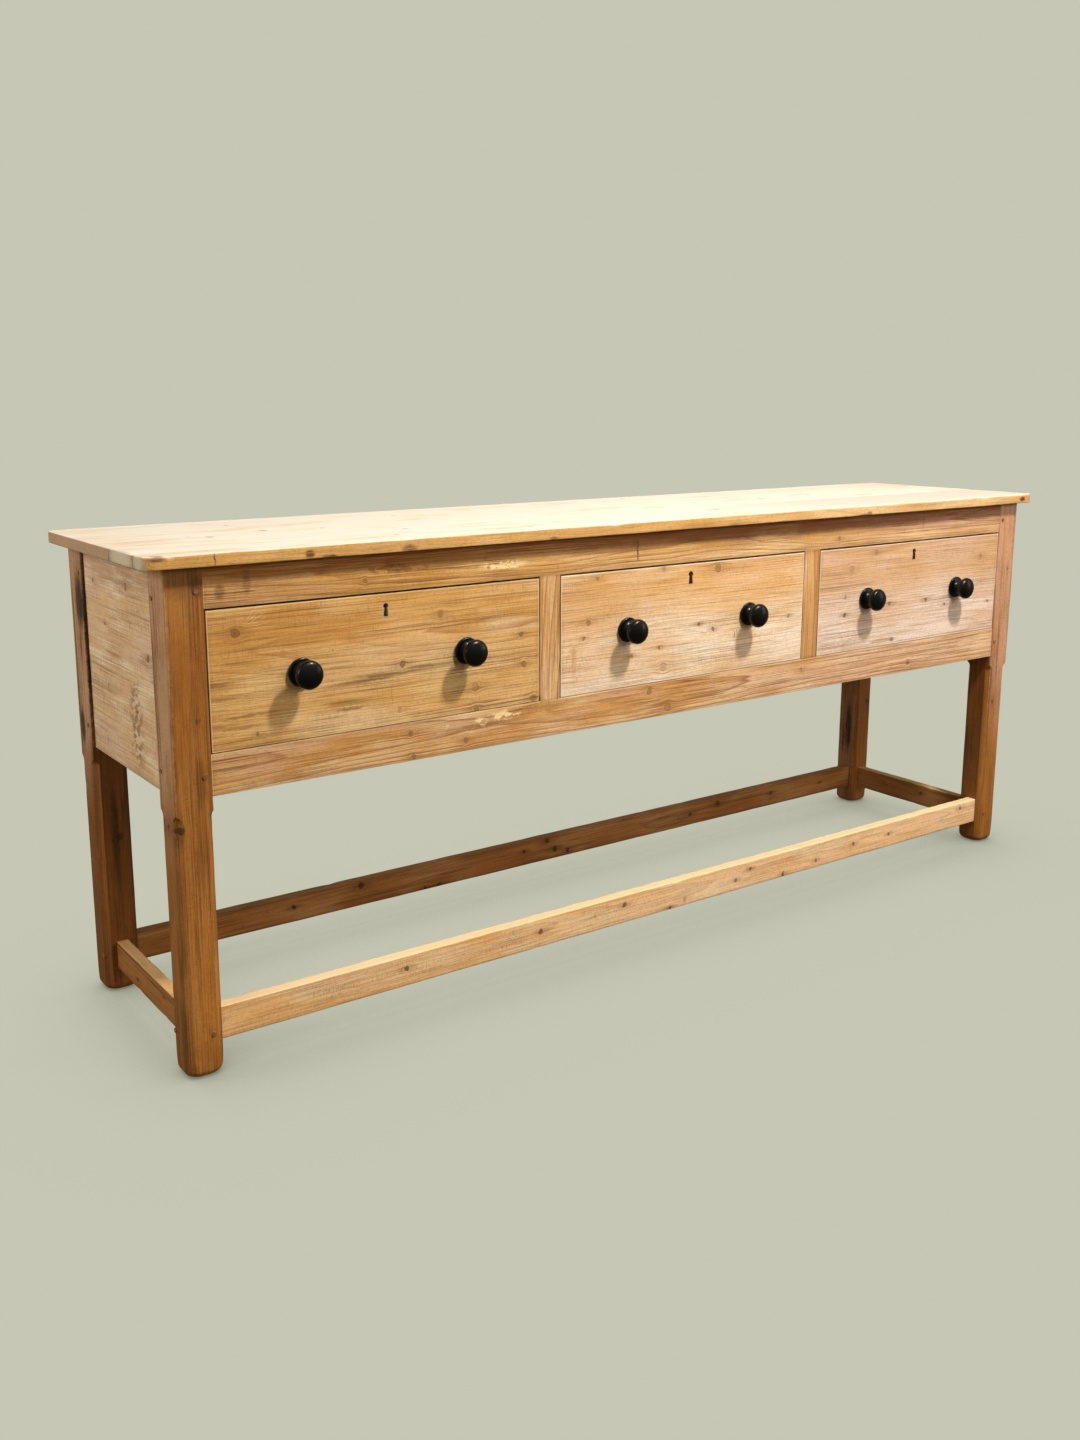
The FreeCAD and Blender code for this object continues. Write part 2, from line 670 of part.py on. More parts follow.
for side_name, muntin_x in muntin_places.items():
    muntin = new_body(f"{side_name}_muntin", muntin_x, front_plane, drawer_floor)
    half_muntin = sizes.muntin_width / 2
    face = rectangle(-half_muntin, 0, half_muntin, sizes.drawer_opening_height)
    pad(muntin, "XZ", 0, sizes.rail_thickness, face)
    round_edges(muntin, sizes.rail_arris, on_front_upright)
    muntin_cheeks = rectangle(
        sizes.tenon_shoulder - half_muntin,
        -sizes.muntin_tenon_length,
        half_muntin - sizes.tenon_shoulder,
        sizes.drawer_opening_height + sizes.muntin_tenon_length,
    )
    pad(muntin, "XZ", rail_tenon_offset, sizes.tenon_thickness, muntin_cheeks)


# Panels: one wide board at each end and one across the back, each with two pegged tenons at both ends.
def make_panel(label, plane, x, y, thickness, first, last, tenons):
    """A panel from first to last along X or Y, about the middle of its thickness."""
    body = new_body(label, x, y, sizes.case_bottom)
    pad(body, plane, -thickness / 2, thickness, rectangle(first, 0, last, panel_height))
    round_edges(body, sizes.panel_arris, is_long_below)
    cheeks = []
    holes = []
    radius = sizes.peg_diameter / 2 + sizes.peg_clearance
    for tenon in tenons:
        low = tenon.low - sizes.case_bottom
        high = tenon.high - sizes.case_bottom
        cheeks.append(rectangle(first - tenon.length, low, last + tenon.length, high))
        level = peg_level(tenon) - sizes.case_bottom
        holes.append(Disc(first - tenon.peg_setback, level, radius))
        holes.append(Disc(last + tenon.peg_setback, level, radius))
    pad(body, plane, -sizes.tenon_thickness / 2, sizes.tenon_thickness, *cheeks)
    pocket(body, plane, -sizes.tenon_thickness / 2, sizes.tenon_thickness, *holes)
    return body


for side_name, to_side in LEFT_RIGHT.items():
    panel_x = sizes.case_length / 2 - sizes.side_panel_inset - sizes.side_panel_thickness / 2
    make_panel(
        f"{side_name}_side_panel",
        "YZ",
        to_side * panel_x,
        front_plane + sizes.leg_side,
        sizes.side_panel_thickness,
        0,
        side_length,
        side_panel_tenons,
    )
half_back = sizes.back_panel_thickness / 2
back_panel = make_panel(
    "back_panel",
    "XZ",
    0,
    front_plane + back_panel_front + half_back,
    sizes.back_panel_thickness,
    -span / 2,
    span / 2,
    back_panel_tenons,
)
for strip_level in STRIP_LEVELS.values():
    pocket(back_panel, "XZ", -half_back, stub_length, *stub_mortises(strip_level - sizes.case_bottom))


# Stretchers: a box of four rails near the floor, their long edges worn round.
def make_stretcher(label, plane, place, thickness, height, run, tenons):
    """A stretcher along X or Y, from run's first to its last, about the middle of its thickness, with a tenon
    and a peg hole at each end."""
    first, last = run
    body = new_body(label, *place)
    pad(body, plane, -thickness / 2, thickness, rectangle(first, 0, last, height))
    round_edges(body, sizes.stretcher_arris, is_long)
    low = sizes.tenon_shoulder
    high = height - sizes.tenon_shoulder
    reach = rectangle(first - tenons[0].length, low, last + tenons[1].length, high)
    pad(body, plane, -sizes.tenon_thickness / 2, sizes.tenon_thickness, reach)
    radius = sizes.peg_diameter / 2 + sizes.peg_clearance
    ends = (first - tenons[0].peg_setback, last + tenons[1].peg_setback)
    holes = [Disc(u, height / 2 - tenon.peg_drop, radius) for u, tenon in zip(ends, tenons)]
    pocket(body, plane, -sizes.tenon_thickness / 2, sizes.tenon_thickness, *holes)


long_run = (-span / 2, span / 2)
front_stretcher_y = sizes.front_stretcher_setback + sizes.front_stretcher_thickness / 2
back_stretcher_y = sizes.case_depth - sizes.back_stretcher_inset - sizes.back_stretcher_thickness / 2
make_stretcher(
    "front_stretcher",
    "XZ",
    (0, front_plane + front_stretcher_y, sizes.front_stretcher_bottom),
    sizes.front_stretcher_thickness,
    sizes.front_stretcher_height,
    long_run,
    (front_stretcher_tenon, front_stretcher_tenon),
)
make_stretcher(
    "back_stretcher",
    "XZ",
    (0, front_plane + back_stretcher_y, sizes.back_stretcher_bottom),
    sizes.back_stretcher_thickness,
    sizes.back_stretcher_height,
    long_run,
    (back_stretcher_tenon, back_stretcher_tenon),
)
for side_name, to_side in LEFT_RIGHT.items():
    stretcher_x = sizes.case_length / 2 - sizes.side_stretcher_inset - sizes.side_stretcher_thickness / 2
    make_stretcher(
        f"{side_name}_stretcher",
        "YZ",
        (to_side * stretcher_x, front_plane + sizes.leg_side, sizes.side_stretcher_bottom),
        sizes.side_stretcher_thickness,
        sizes.side_stretcher_height,
        (0, side_length),
        (leg_tenons["front"][1][-1], leg_tenons["back"][1][-1]),
    )


# Top: two boards, edge to edge, with rounded corners and worn edges.
def make_top_board(label, y, width, rounded_side):
    """A board of the top from its front edge, with the corners rounded at the front or at the back."""
    body = new_body(label, 0, front_plane + y, leg_height)
    half = sizes.case_length / 2 + sizes.top_end_overhang
    corner = sizes.top_corner_radius
    if rounded_side == "front":
        outline = [
            (corner - half, 0), (half - corner, 0, corner), (half, corner), (half, width),
            (-half, width), (-half, corner, corner),
        ]
    else:
        outline = [
            (-half, 0), (half, 0), (half, width - corner, corner), (half - corner, width),
            (corner - half, width, corner), (-half, width - corner),
        ]
    pad(body, "XY", 0, sizes.top_thickness, outline)
    for radius, level in ((sizes.top_upper_round, "ZMax"), (sizes.top_lower_round, "ZMin")):
        def worn(edge, whole):
            height = getattr(whole, level)
            seam = whole.YMax if rounded_side == "front" else whole.YMin
            flat = near(edge.ZMin, height) and near(edge.ZMax, height)
            return flat and not (near(edge.YMin, seam) and near(edge.YMax, seam))
        round_edges(body, radius, worn)


top_depth = sizes.case_depth + sizes.top_front_overhang + sizes.top_back_overhang
make_top_board("top_front_board", -sizes.top_front_overhang, sizes.top_front_board_width, "front")
make_top_board(
    "top_back_board",
    sizes.top_front_board_width - sizes.top_front_overhang,
    top_depth - sizes.top_front_board_width,
    "back",
)


# Drawers. Each is modelled from its own middle, the case's front plane and the lower edges of its sides.
drawer_z = drawer_floor + sizes.drawer_lift
drawer_height = sizes.drawer_opening_height - sizes.drawer_top_gap - sizes.drawer_lift
drawer_length = back_panel_front - sizes.stop_length - sizes.stop_clearance
back_low = sizes.drawer_bottom_raise + sizes.drawer_bottom_thickness
back_high = drawer_height - sizes.drawer_back_drop
back_root = drawer_length - sizes.drawer_back_thickness
groove_front = sizes.drawer_front_thickness - sizes.groove_depth
knob_z = sizes.drawer_opening_height / 2 - sizes.knob_drop - sizes.drawer_lift
key_z = sizes.drawer_opening_height - sizes.keyhole_drop - sizes.drawer_lift
lock_bottom = drawer_height - sizes.lock_height


def tails(count, low, high, root, tip):
    """Side views of evenly spaced dovetails, from their roots, where they are narrow, to their tips."""
    pitch = (high - low) / count
    outlines = []
    for index in range(count):
        middle = low + (index + 0.5) * pitch
        narrow = pitch / 2 - sizes.tail_shoulder
        wide = narrow + sizes.tail_flare
        outlines.append([
            (tip, middle - wide), (root, middle - narrow), (root, middle + narrow), (tip, middle + wide),
        ])
    return outlines


front_tails = tails(FRONT_TAILS, 0, drawer_height, sizes.drawer_front_thickness, sizes.dovetail_lap)
back_tails = tails(BACK_TAILS, back_low, back_high, back_root, drawer_length)


def keyhole(body, feature, start, depth, wall):
    """Pads or pockets a keyhole, a round with a widening slot below it, grown all round by wall."""
    neck = sizes.keyhole_neck / 2 + wall
    foot = sizes.keyhole_foot / 2 + wall
    foot_z = key_z - sizes.keyhole_slot_length - wall
    feature(body, "XZ", start, depth, Disc(0, key_z, sizes.keyhole_diameter / 2 + wall))
    feature(body, "XZ", start, depth, [(-neck, key_z), (-foot, foot_z), (foot, foot_z), (neck, key_z)])


def make_drawer_front(name, place, width, knob_x):
    """Front board: half-blind sockets, groove, knob holes, keyhole and the recess for the lock."""
    body = new_body(f"{name}_drawer_front", *place)
    half = width / 2
    thickness = sizes.drawer_front_thickness
    bottom = sizes.drawer_bottom_gap - sizes.drawer_lift
    pad(body, "XZ", 0, thickness, rectangle(-half, bottom, half, drawer_height))
    round_edges(body, sizes.drawer_arris, on_front)
    pocket(body, "YZ", -half, sizes.drawer_side_thickness, *front_tails)
    pocket(body, "YZ", half - sizes.drawer_side_thickness, sizes.drawer_side_thickness, *front_tails)
    groove_half = half - sizes.drawer_side_thickness + sizes.groove_depth
    groove = rectangle(-groove_half, sizes.drawer_bottom_raise, groove_half, back_low)
    pocket(body, "XZ", groove_front, sizes.groove_depth, groove)
    radius = sizes.knob_spigot_diameter / 2 + sizes.knob_spigot_clearance
    pocket(body, "XZ", 0, thickness, Disc(-knob_x, knob_z, radius), Disc(knob_x, knob_z, radius))
    recess = rectangle(-sizes.lock_width / 2, lock_bottom, sizes.lock_width / 2, drawer_height)
    pocket(body, "XZ", lock_front, lock_depth, recess)
    keyhole(body, pocket, 0, lock_front, 0 if name == "left" else sizes.keyhole_wear)
    if name == "left":
        keyhole(body, pocket, 0, sizes.escutcheon_depth, sizes.escutcheon_wall)


def make_drawer_side(name, place, width, side):
    """Side board: tails at both ends and the groove for the bottom on its inner face."""
    body = new_body(f"{name}_drawer_{side}_side", *place)
    thickness = sizes.drawer_side_thickness
    start = -width / 2 if side == "left" else width / 2 - thickness
    board = rectangle(sizes.drawer_front_thickness, 0, back_root, drawer_height)
    pad(body, "YZ", start, thickness, board)
    pad(body, "YZ", start, thickness, *front_tails)
    heel = rectangle(back_root, 0, drawer_length, back_low)
    upper_horn = rectangle(back_root, back_high, drawer_length, drawer_height)
    pad(body, "YZ", start, thickness, *back_tails)
    pad(body, "YZ", start, thickness, heel, upper_horn)
    groove_start = start + (thickness - sizes.groove_depth) if side == "left" else start
    groove = rectangle(groove_front, sizes.drawer_bottom_raise, drawer_length, back_low)
    pocket(body, "YZ", groove_start, sizes.groove_depth, groove)


def make_drawer_back(name, place, width):
    """Back board, above the bottom, with through sockets for the sides' tails."""
    body = new_body(f"{name}_drawer_back", *place)
    half = width / 2
    thickness = sizes.drawer_side_thickness
    pad(body, "XZ", back_root, sizes.drawer_back_thickness, rectangle(-half, back_low, half, back_high))
    pocket(body, "YZ", -half, thickness, *back_tails)
    pocket(body, "YZ", half - thickness, thickness, *back_tails)


def make_drawer_bottom(name, place, width):
    """Thin board in the grooves of the front and sides, running out under the back."""
    body = new_body(f"{name}_drawer_bottom", *place)
    half = width / 2 - sizes.drawer_side_thickness + sizes.groove_depth
    outline = rectangle(-half, groove_front, half, drawer_length)
    pad(body, "XY", sizes.drawer_bottom_raise, sizes.drawer_bottom_thickness, outline)


def make_knob(label, x):
    """Turned knob: domed head, hollow neck and thin-edged flange, with a spigot through the drawer's front.

    The dome's radius follows from its height and the shoulder's radius, and the hollow behind the head from
    the other radii, so that all the arcs meet smoothly.
    """
    body = new_body(label, x, front_plane, drawer_z + knob_z)
    bead_x = knob_radius - sizes.knob_bead
    neck_x = bead_x - sizes.knob_cove
    back_x = knob_radius - sizes.knob_back
    throat_radius = back_x - neck_x
    shoulder_x = knob_radius - sizes.knob_shoulder
    rise = sizes.knob_dome - sizes.knob_shoulder
    dome_radius = (shoulder_x * shoulder_x / rise + sizes.knob_dome + sizes.knob_shoulder) / 2
    ring_y = sizes.knob_dome - knob_projection
    share = dome_radius / (dome_radius - sizes.knob_shoulder)
    dome_centre_y = dome_radius - knob_projection
    meet_x = shoulder_x * share
    meet_y = dome_centre_y + (ring_y - dome_centre_y) * share
    neck_y = -(2 * sizes.knob_bead + sizes.knob_cove)
    spigot = sizes.knob_spigot_diameter / 2
    sketch = new_sketch(body, "XY", 0)
    draw_outline(sketch, [
        (0, -knob_projection, dome_radius),
        (meet_x, meet_y, sizes.knob_shoulder),
        (knob_radius, ring_y, sizes.knob_back),
        (back_x, ring_y + sizes.knob_back, throat_radius, "hollow"),
        (neck_x, neck_y, sizes.knob_cove, "hollow"),
        (bead_x, -2 * sizes.knob_bead, sizes.knob_bead),
        (knob_radius, -sizes.knob_bead, sizes.knob_bead),
        (bead_x, 0),
        (spigot, 0),
        (spigot, sizes.drawer_front_thickness),
        (0, sizes.drawer_front_thickness),
    ])
    turning = body.newObject("PartDesign::Revolution", "Turning")
    turning.Profile = sketch
    turning.ReferenceAxis = (sketch, ["V_Axis"])
    turning.Angle = 360


def make_lock(name, place):
    """Lock let into the drawer's front: a shallow case, open on top for the bolt, with a pin for the key."""
    body = new_body(f"{name}_drawer_lock", *place)
    half = sizes.lock_width / 2
    room = sizes.bolt_thickness + 2 * sizes.bolt_clearance
    pad(body, "XZ", lock_front, lock_depth, rectangle(-half, lock_bottom, half, drawer_height))
    chamber = half - sizes.lock_rim
    throat = sizes.bolt_width / 2 + sizes.bolt_clearance
    floor = lock_bottom + sizes.lock_rim
    roof = drawer_height - sizes.lock_rim
    above = drawer_height + sizes.lock_rim
    pocket(body, "XZ", lock_front + sizes.lock_wall, room, [
        (-chamber, floor), (chamber, floor), (chamber, roof), (throat, roof),
        (throat, above), (-throat, above), (-throat, roof), (-chamber, roof),
    ])
    keyhole(body, pocket, lock_front, sizes.lock_wall, 0)
    pad(body, "XZ", lock_front + sizes.lock_wall, room, Disc(0, key_z, sizes.key_pin_diameter / 2))


def make_bolt(name, place):
    """Bolt of the lock: a forked plate that straddles the key pin and rises through the lock's upper edge."""
    body = new_body(f"{name}_drawer_bolt", *place)
    half = sizes.bolt_width / 2
    slot = sizes.bolt_slot / 2
    foot = lock_bottom + sizes.lock_rim + sizes.bolt_clearance
    crotch = key_z + sizes.bolt_slot_rise
    pad(body, "XZ", bolt_front, sizes.bolt_thickness, [
        (-half, foot), (-slot, foot), (-slot, crotch), (slot, crotch),
        (slot, foot), (half, foot), (half, drawer_height), (-half, drawer_height),
    ])


for drawer_name, (drawer_x, opening) in drawer_places.items():
    drawer_place = (drawer_x, front_plane, drawer_z)
    drawer_width = opening - 2 * sizes.drawer_side_gap
    knob_offset = opening / 4
    make_drawer_front(drawer_name, drawer_place, drawer_width, knob_offset)
    for side_name, to_side in LEFT_RIGHT.items():
        make_drawer_side(drawer_name, drawer_place, drawer_width, side_name)
        make_knob(f"{drawer_name}_drawer_{side_name}_knob", drawer_x + to_side * knob_offset)
    make_drawer_back(drawer_name, drawer_place, drawer_width)
    make_drawer_bottom(drawer_name, drawer_place, drawer_width)
    make_lock(drawer_name, drawer_place)
    make_bolt(drawer_name, drawer_place)
    if drawer_name == "left":
        escutcheon = new_body("left_drawer_escutcheon", *drawer_place)
        keyhole(escutcheon, pad, 0, sizes.escutcheon_depth, sizes.escutcheon_wall)
        keyhole(escutcheon, pocket, 0, sizes.escutcheon_depth, 0)


# Groups of like solids: pegs, drawer stops and glue blocks.
def group(label, members):
    compound = document.addObject("Part::Compound", label)
    compound.Label = label
    compound.Links = members
    pieces.append(compound)


def set_place(item, x, y, z, axis=(0, 0, 1), degrees=0):
    """Turns an item about an axis through its own origin and places it by three sizes."""
    turn = FreeCAD.Rotation(FreeCAD.Vector(*axis), degrees)
    item.Placement = FreeCAD.Placement(FreeCAD.Vector(0, 0, 0), turn)
    for letter, place in zip("xyz", (x, y, z)):
        bind(item, "Placement.Base." + letter, place)


def make_peg(x, y, z, axis, degrees, tenon):
    peg = document.addObject("Part::Cylinder", "Peg")
    bind(peg, "Radius", sizes.peg_diameter / 2)
    bind(peg, "Height", sizes.peg_proud + peg_depth(tenon))
    set_place(peg, x, y, z, axis, degrees)
    return peg


pegs = []
for end_name, to_end in FRONT_BACK.items():
    tenons_x, tenons_y = leg_tenons[end_name]
    leg_face = front_plane if end_name == "front" else front_plane + sizes.case_depth
    shoulder_y = front_plane + (sizes.leg_side if end_name == "front" else sizes.case_depth - sizes.leg_side)
    for side_name, to_side in LEFT_RIGHT.items():
        for tenon in tenons_x:
            peg_x = to_side * (span / 2 + tenon.peg_setback)
            peg_y = leg_face + to_end * sizes.peg_proud
            pegs.append(make_peg(peg_x, peg_y, peg_level(tenon), (1, 0, 0), 90 * to_end, tenon))
        for tenon in tenons_y:
            peg_x = to_side * (sizes.case_length / 2 + sizes.peg_proud)
            peg_y = shoulder_y + to_end * tenon.peg_setback
            pegs.append(make_peg(peg_x, peg_y, peg_level(tenon), (0, 1, 0), -90 * to_side, tenon))
group("joint_pegs", pegs)

stops = []
for drawer_x, opening in drawer_places.values():
    for to_side in LEFT_RIGHT.values():
        stop = document.addObject("Part::Box", "Stop")
        bind(stop, "Length", sizes.stop_width)
        bind(stop, "Width", sizes.stop_length)
        bind(stop, "Height", sizes.stop_height)
        outer_edge = opening / 2 - sizes.drawer_side_gap
        stop_x = drawer_x - outer_edge if to_side < 0 else drawer_x + outer_edge - sizes.stop_width
        set_place(stop, stop_x, front_plane + back_panel_front - sizes.stop_length, drawer_floor)
        stops.append(stop)
group("drawer_stops", stops)


def make_block(x, y, degrees):
    """A bevelled block glued into the corner under the top, with its tall side against the case."""
    block = document.addObject("Part::Wedge", "Block")
    bind(block, "Xmin", -sizes.block_length / 2)
    bind(block, "Xmax", sizes.block_length / 2)
    bind(block, "X2min", -sizes.block_length / 2)
    bind(block, "X2max", sizes.block_length / 2)
    bind(block, "Ymin", 0)
    bind(block, "Ymax", sizes.block_leg)
    bind(block, "Zmin", -sizes.block_leg)
    bind(block, "Zmax", 0)
    bind(block, "Z2min", -sizes.block_nose)
    bind(block, "Z2max", 0)
    set_place(block, x, y, leg_height, (0, 0, 1), degrees)
    return block


blocks = []
for drawer_x, opening in drawer_places.values():
    for to_side in LEFT_RIGHT.values():
        block_x = drawer_x + to_side * opening / 4
        blocks.append(make_block(block_x, front_plane + sizes.rail_thickness, 0))
        blocks.append(make_block(block_x, front_plane + back_panel_front, 180))
for to_side in LEFT_RIGHT.values():
    block_x = to_side * (sizes.case_length / 2 - sizes.side_panel_inset - sizes.side_panel_thickness)
    blocks.append(make_block(block_x, front_plane + sizes.case_depth / 2, 90 * to_side))
group("glue_blocks", blocks)

# Nothing is written unless every object is sound, every cut removes wood and every piece is a valid solid.
document.recompute()
faults = [item.Label for item in document.Objects if {"Invalid", "Error"} & set(item.State)]
for item in document.Objects:
    if item.TypeId == "PartDesign::Pocket" and item.Shape.Volume >= item.BaseFeature.Shape.Volume - 1e-6:
        faults.append(item.Label + " cuts nothing")
for piece in pieces:
    expected = len(piece.Links) if piece.TypeId == "Part::Compound" else 1
    if piece.Shape.isNull() or not piece.Shape.isValid() or len(piece.Shape.Solids) != expected:
        faults.append(piece.Label + " is not sound")
if faults:
    raise RuntimeError("; ".join(faults))
os.makedirs("parts", exist_ok=True)
for piece in pieces:
    piece.Shape.exportStep(f"parts/{piece.Label}.step")
print(len(pieces), "pieces written")
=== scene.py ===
"""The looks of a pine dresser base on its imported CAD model: worn timbers, wood grain, knobs and locks.

Metres, +X to the right along the front, +Y to the back, +Z up. Each section makes one group of pieces.
"""
from collections import namedtuple

import bmesh
import bpy
import numpy as np
from mathutils import Matrix, Vector


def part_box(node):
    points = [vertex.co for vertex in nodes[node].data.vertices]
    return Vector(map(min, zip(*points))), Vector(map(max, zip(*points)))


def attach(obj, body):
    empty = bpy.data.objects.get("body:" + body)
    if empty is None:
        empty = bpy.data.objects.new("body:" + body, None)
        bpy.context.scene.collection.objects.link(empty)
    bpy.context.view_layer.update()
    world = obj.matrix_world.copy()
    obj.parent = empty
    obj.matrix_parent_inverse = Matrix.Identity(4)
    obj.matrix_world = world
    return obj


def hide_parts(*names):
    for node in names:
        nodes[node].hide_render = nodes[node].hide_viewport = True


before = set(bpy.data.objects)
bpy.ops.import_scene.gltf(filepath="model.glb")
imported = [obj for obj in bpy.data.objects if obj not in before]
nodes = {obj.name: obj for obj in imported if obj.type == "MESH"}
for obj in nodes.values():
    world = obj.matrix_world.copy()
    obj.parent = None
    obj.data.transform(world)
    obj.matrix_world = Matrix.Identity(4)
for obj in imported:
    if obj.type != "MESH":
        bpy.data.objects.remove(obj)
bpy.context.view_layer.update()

# Legs: four square pine posts, each planed by hand from one length of redwood. All four corners are chamfered
# from a scooped stop below the case to the foot, and years of mopped floors have rounded the foot itself.
MM = 0.001
X, Y, Z = range(3)
CORNER_POINTS = 6
END_STEPS = 12
CAP_RINGS = 6
SHARP_DEGREES = 32
EDGE_WANDER = 300 * MM
CHIP_REACH = (3, 16)
CHIP_SHARE = (0.15, 1)
DENT_REACH = (2, 7)
DENT_DEPTH = (0.2, 0.9)
RIPPLE = (700 * MM, 90 * MM)
LEG_SEED = 100
LEG_ARRIS = 1.8 * MM
LEG_STEP = 2.5 * MM
CHAMFER = 11 * MM
STOP_RADIUS = 14 * MM
STOP_BELOW_CASE = 21 * MM
FOOT_ROUND = 14 * MM
FOOT_WEAR = 40 * MM
FOOT_WIDENING = 0.7


def rounding(distance, radius):
    """How far a rounded edge has drawn in at a distance from the end: r - sqrt(r^2 - (r - d)^2)."""
    short = np.clip(radius - distance, 0, radius)
    return radius - np.sqrt(radius * radius - short * short)


def wander(random, position, length, waves=6):
    """A smooth random line from -1 to 1: the mean of a few sines, the longest of this wavelength."""
    lengths = length * random.uniform(0.2, 1, waves)
    phases = random.uniform(0, 2 * np.pi, waves)
    return np.sin(2 * np.pi * position[..., None] / lengths + phases).mean(-1)


def ripple(random, along, around, length, width, waves=9):
    """A smooth random surface from -1 to 1: the mean of a few plane waves, drawn out along the grain."""
    total = np.zeros(np.broadcast(along, around).shape)
    for _ in range(waves):
        lengths = random.uniform(0.3, 1, 2) * (length, width)
        lean = random.choice((-1, 1))
        phase = random.uniform(0, 2 * np.pi)
        total += np.sin(2 * np.pi * (along / lengths[0] + lean * around / lengths[1]) + phase)
    return total / waves


def timber(low, high, grain, random, arris, ends=(1 * MM, 1 * MM), fine=None, step=4 * MM, corner=None,
           trim=None, hollow=0.35 * MM, chips=8, chip_depth=2.5 * MM, dents=24):
    """The surface of one worn board, as points and faces.

    A rectangle is carried along the grain. Each of its corners is cut back by its own size, which wanders
    along the edge and has a few chips, and is drawn as a blend of a flat and a quarter circle. Near an end
    all sides draw in by a quarter circle. The faces sink by long ripples and small round dents, never
    outwards. Each end closes in rings on to one middle point.
    """
    across, up = (grain + 1) % 3, (grain + 2) % 3
    length = high[grain] - low[grain]
    fine = fine or ends
    turn = np.linspace(0, np.pi / 2, END_STEPS)[:-1]
    near, far = (reach * (1 - np.cos(turn)) for reach in fine)
    middle = np.linspace(fine[0], length - fine[1], 2 + int((length - sum(fine)) / step))
    s = np.concatenate([near, middle, (length - far)[::-1]])

    drawn_in = rounding(s, ends[0]) + rounding(length - s, ends[1])
    sides = np.repeat(drawn_in[:, None], 4, axis=1)
    if trim:
        sides = sides + trim(s, length)
    right, top = high[across] - sides[:, 0], high[up] - sides[:, 1]
    left, bottom = low[across] + sides[:, 2], low[up] + sides[:, 3]
    limit = 0.45 * np.minimum(right - left, top - bottom)

    size = np.broadcast_to(np.asarray(arris, float), (4,))
    flatness = np.zeros_like(s)
    worn = np.stack([k * (1 + 0.45 * wander(random, s, EDGE_WANDER)) for k in size], axis=1)
    for _ in range(chips):
        place, reach = random.uniform(0, length), random.uniform(*CHIP_REACH) * MM
        depth = chip_depth * random.uniform(*CHIP_SHARE) ** 2
        worn[:, random.integers(4)] += depth * np.exp(-(((s - place) / reach) ** 2))
    if corner:
        cut, flat = corner(s)
        worn = np.maximum(worn, cut[:, None] * (1 + 0.05 * wander(random, s, 200 * MM))[:, None])
        flatness = flat * np.clip(cut / worn.max(axis=1) * 2 - 1, 0, 1)
    worn = np.minimum(worn, limit[:, None])

    ways = np.array([(1, 0), (0, 1), (-1, 0), (0, -1)], float)
    places = [np.stack(p, axis=-1) for p in ((right, bottom), (right, top), (left, top), (left, bottom))]
    t = np.linspace(0, 1, CORNER_POINTS)[None, :, None]
    corners = []
    for k in range(4):
        into, out = ways[k], ways[(k + 1) % 4]
        cut = worn[:, k, None, None]
        start = places[k][:, None] - cut * into
        flat = start + t * cut * (into + out)
        arc = start + cut * out - cut * out * np.cos(t * np.pi / 2) + cut * into * np.sin(t * np.pi / 2)
        corners.append(arc + flatness[:, None, None] * (flat - arc))
    loop = []
    for k in range(4):
        span = (high[up] - low[up], high[across] - low[across])[k % 2]
        part = np.linspace(0, 1, 2 + max(2, int(span / (1.3 * step))))[None, 1:-1, None]
        loop += [corners[k], corners[k][:, -1:] * (1 - part) + corners[(k + 1) % 4][:, :1] * part]
    loop = np.concatenate(loop, axis=1)

    tangent = np.roll(loop, -1, axis=1) - np.roll(loop, 1, axis=1)
    outward = np.stack([tangent[..., 1], -tangent[..., 0]], axis=-1)
    outward /= np.maximum(np.linalg.norm(outward, axis=-1, keepdims=True), 1e-9)
    stride = np.linalg.norm(loop - np.roll(loop, 1, axis=1), axis=-1)
    around = np.cumsum(stride, axis=1)
    along = np.repeat(s[:, None], loop.shape[1], axis=1)
    sunk = hollow * (1 + ripple(random, along, around, *RIPPLE)) / 2
    for _ in range(dents):
        place, turn_at = random.uniform(0, length), random.uniform(0, around.max())
        reach, depth = random.uniform(*DENT_REACH) * MM, random.uniform(*DENT_DEPTH) * MM
        offsets = (along - place) / (1.6 * reach), (around - turn_at) / reach
        sunk += depth * np.exp(-(offsets[0] ** 2 + offsets[1] ** 2))
    loop = loop - outward * sunk[..., None]

    shrink = np.linspace(1, 0, CAP_RINGS)[1:-1, None, None]
    caps = [loop[e].mean(axis=0) + shrink * (loop[e] - loop[e].mean(axis=0)) for e in (0, -1)]
    rings = np.concatenate([caps[0][::-1], loop, caps[1]])
    s = np.concatenate([np.full(len(shrink), s[0]), s, np.full(len(shrink), s[-1])])
    points = np.zeros(rings.shape[:2] + (3,))
    points[..., grain] = low[grain] + s[:, None]
    points[..., across], points[..., up] = rings[..., 0], rings[..., 1]
    poles = points[[0, -1]].mean(axis=1)

    stations, count = rings.shape[:2]
    index = np.arange(stations * count).reshape(stations, count)
    after = np.roll(index, -1, axis=1)
    quads = np.stack([index[:-1], after[:-1], after[1:], index[1:]], axis=-1).reshape(-1, 4)
    first, last = np.full(count, index.size), np.full(count, index.size + 1)
    fans = np.concatenate([
        np.stack([first, after[0], index[0]], axis=-1),
        np.stack([index[-1], after[-1], last], axis=-1),
    ])
    return np.concatenate([points.reshape(-1, 3), poles]), quads.tolist() + fans.tolist()


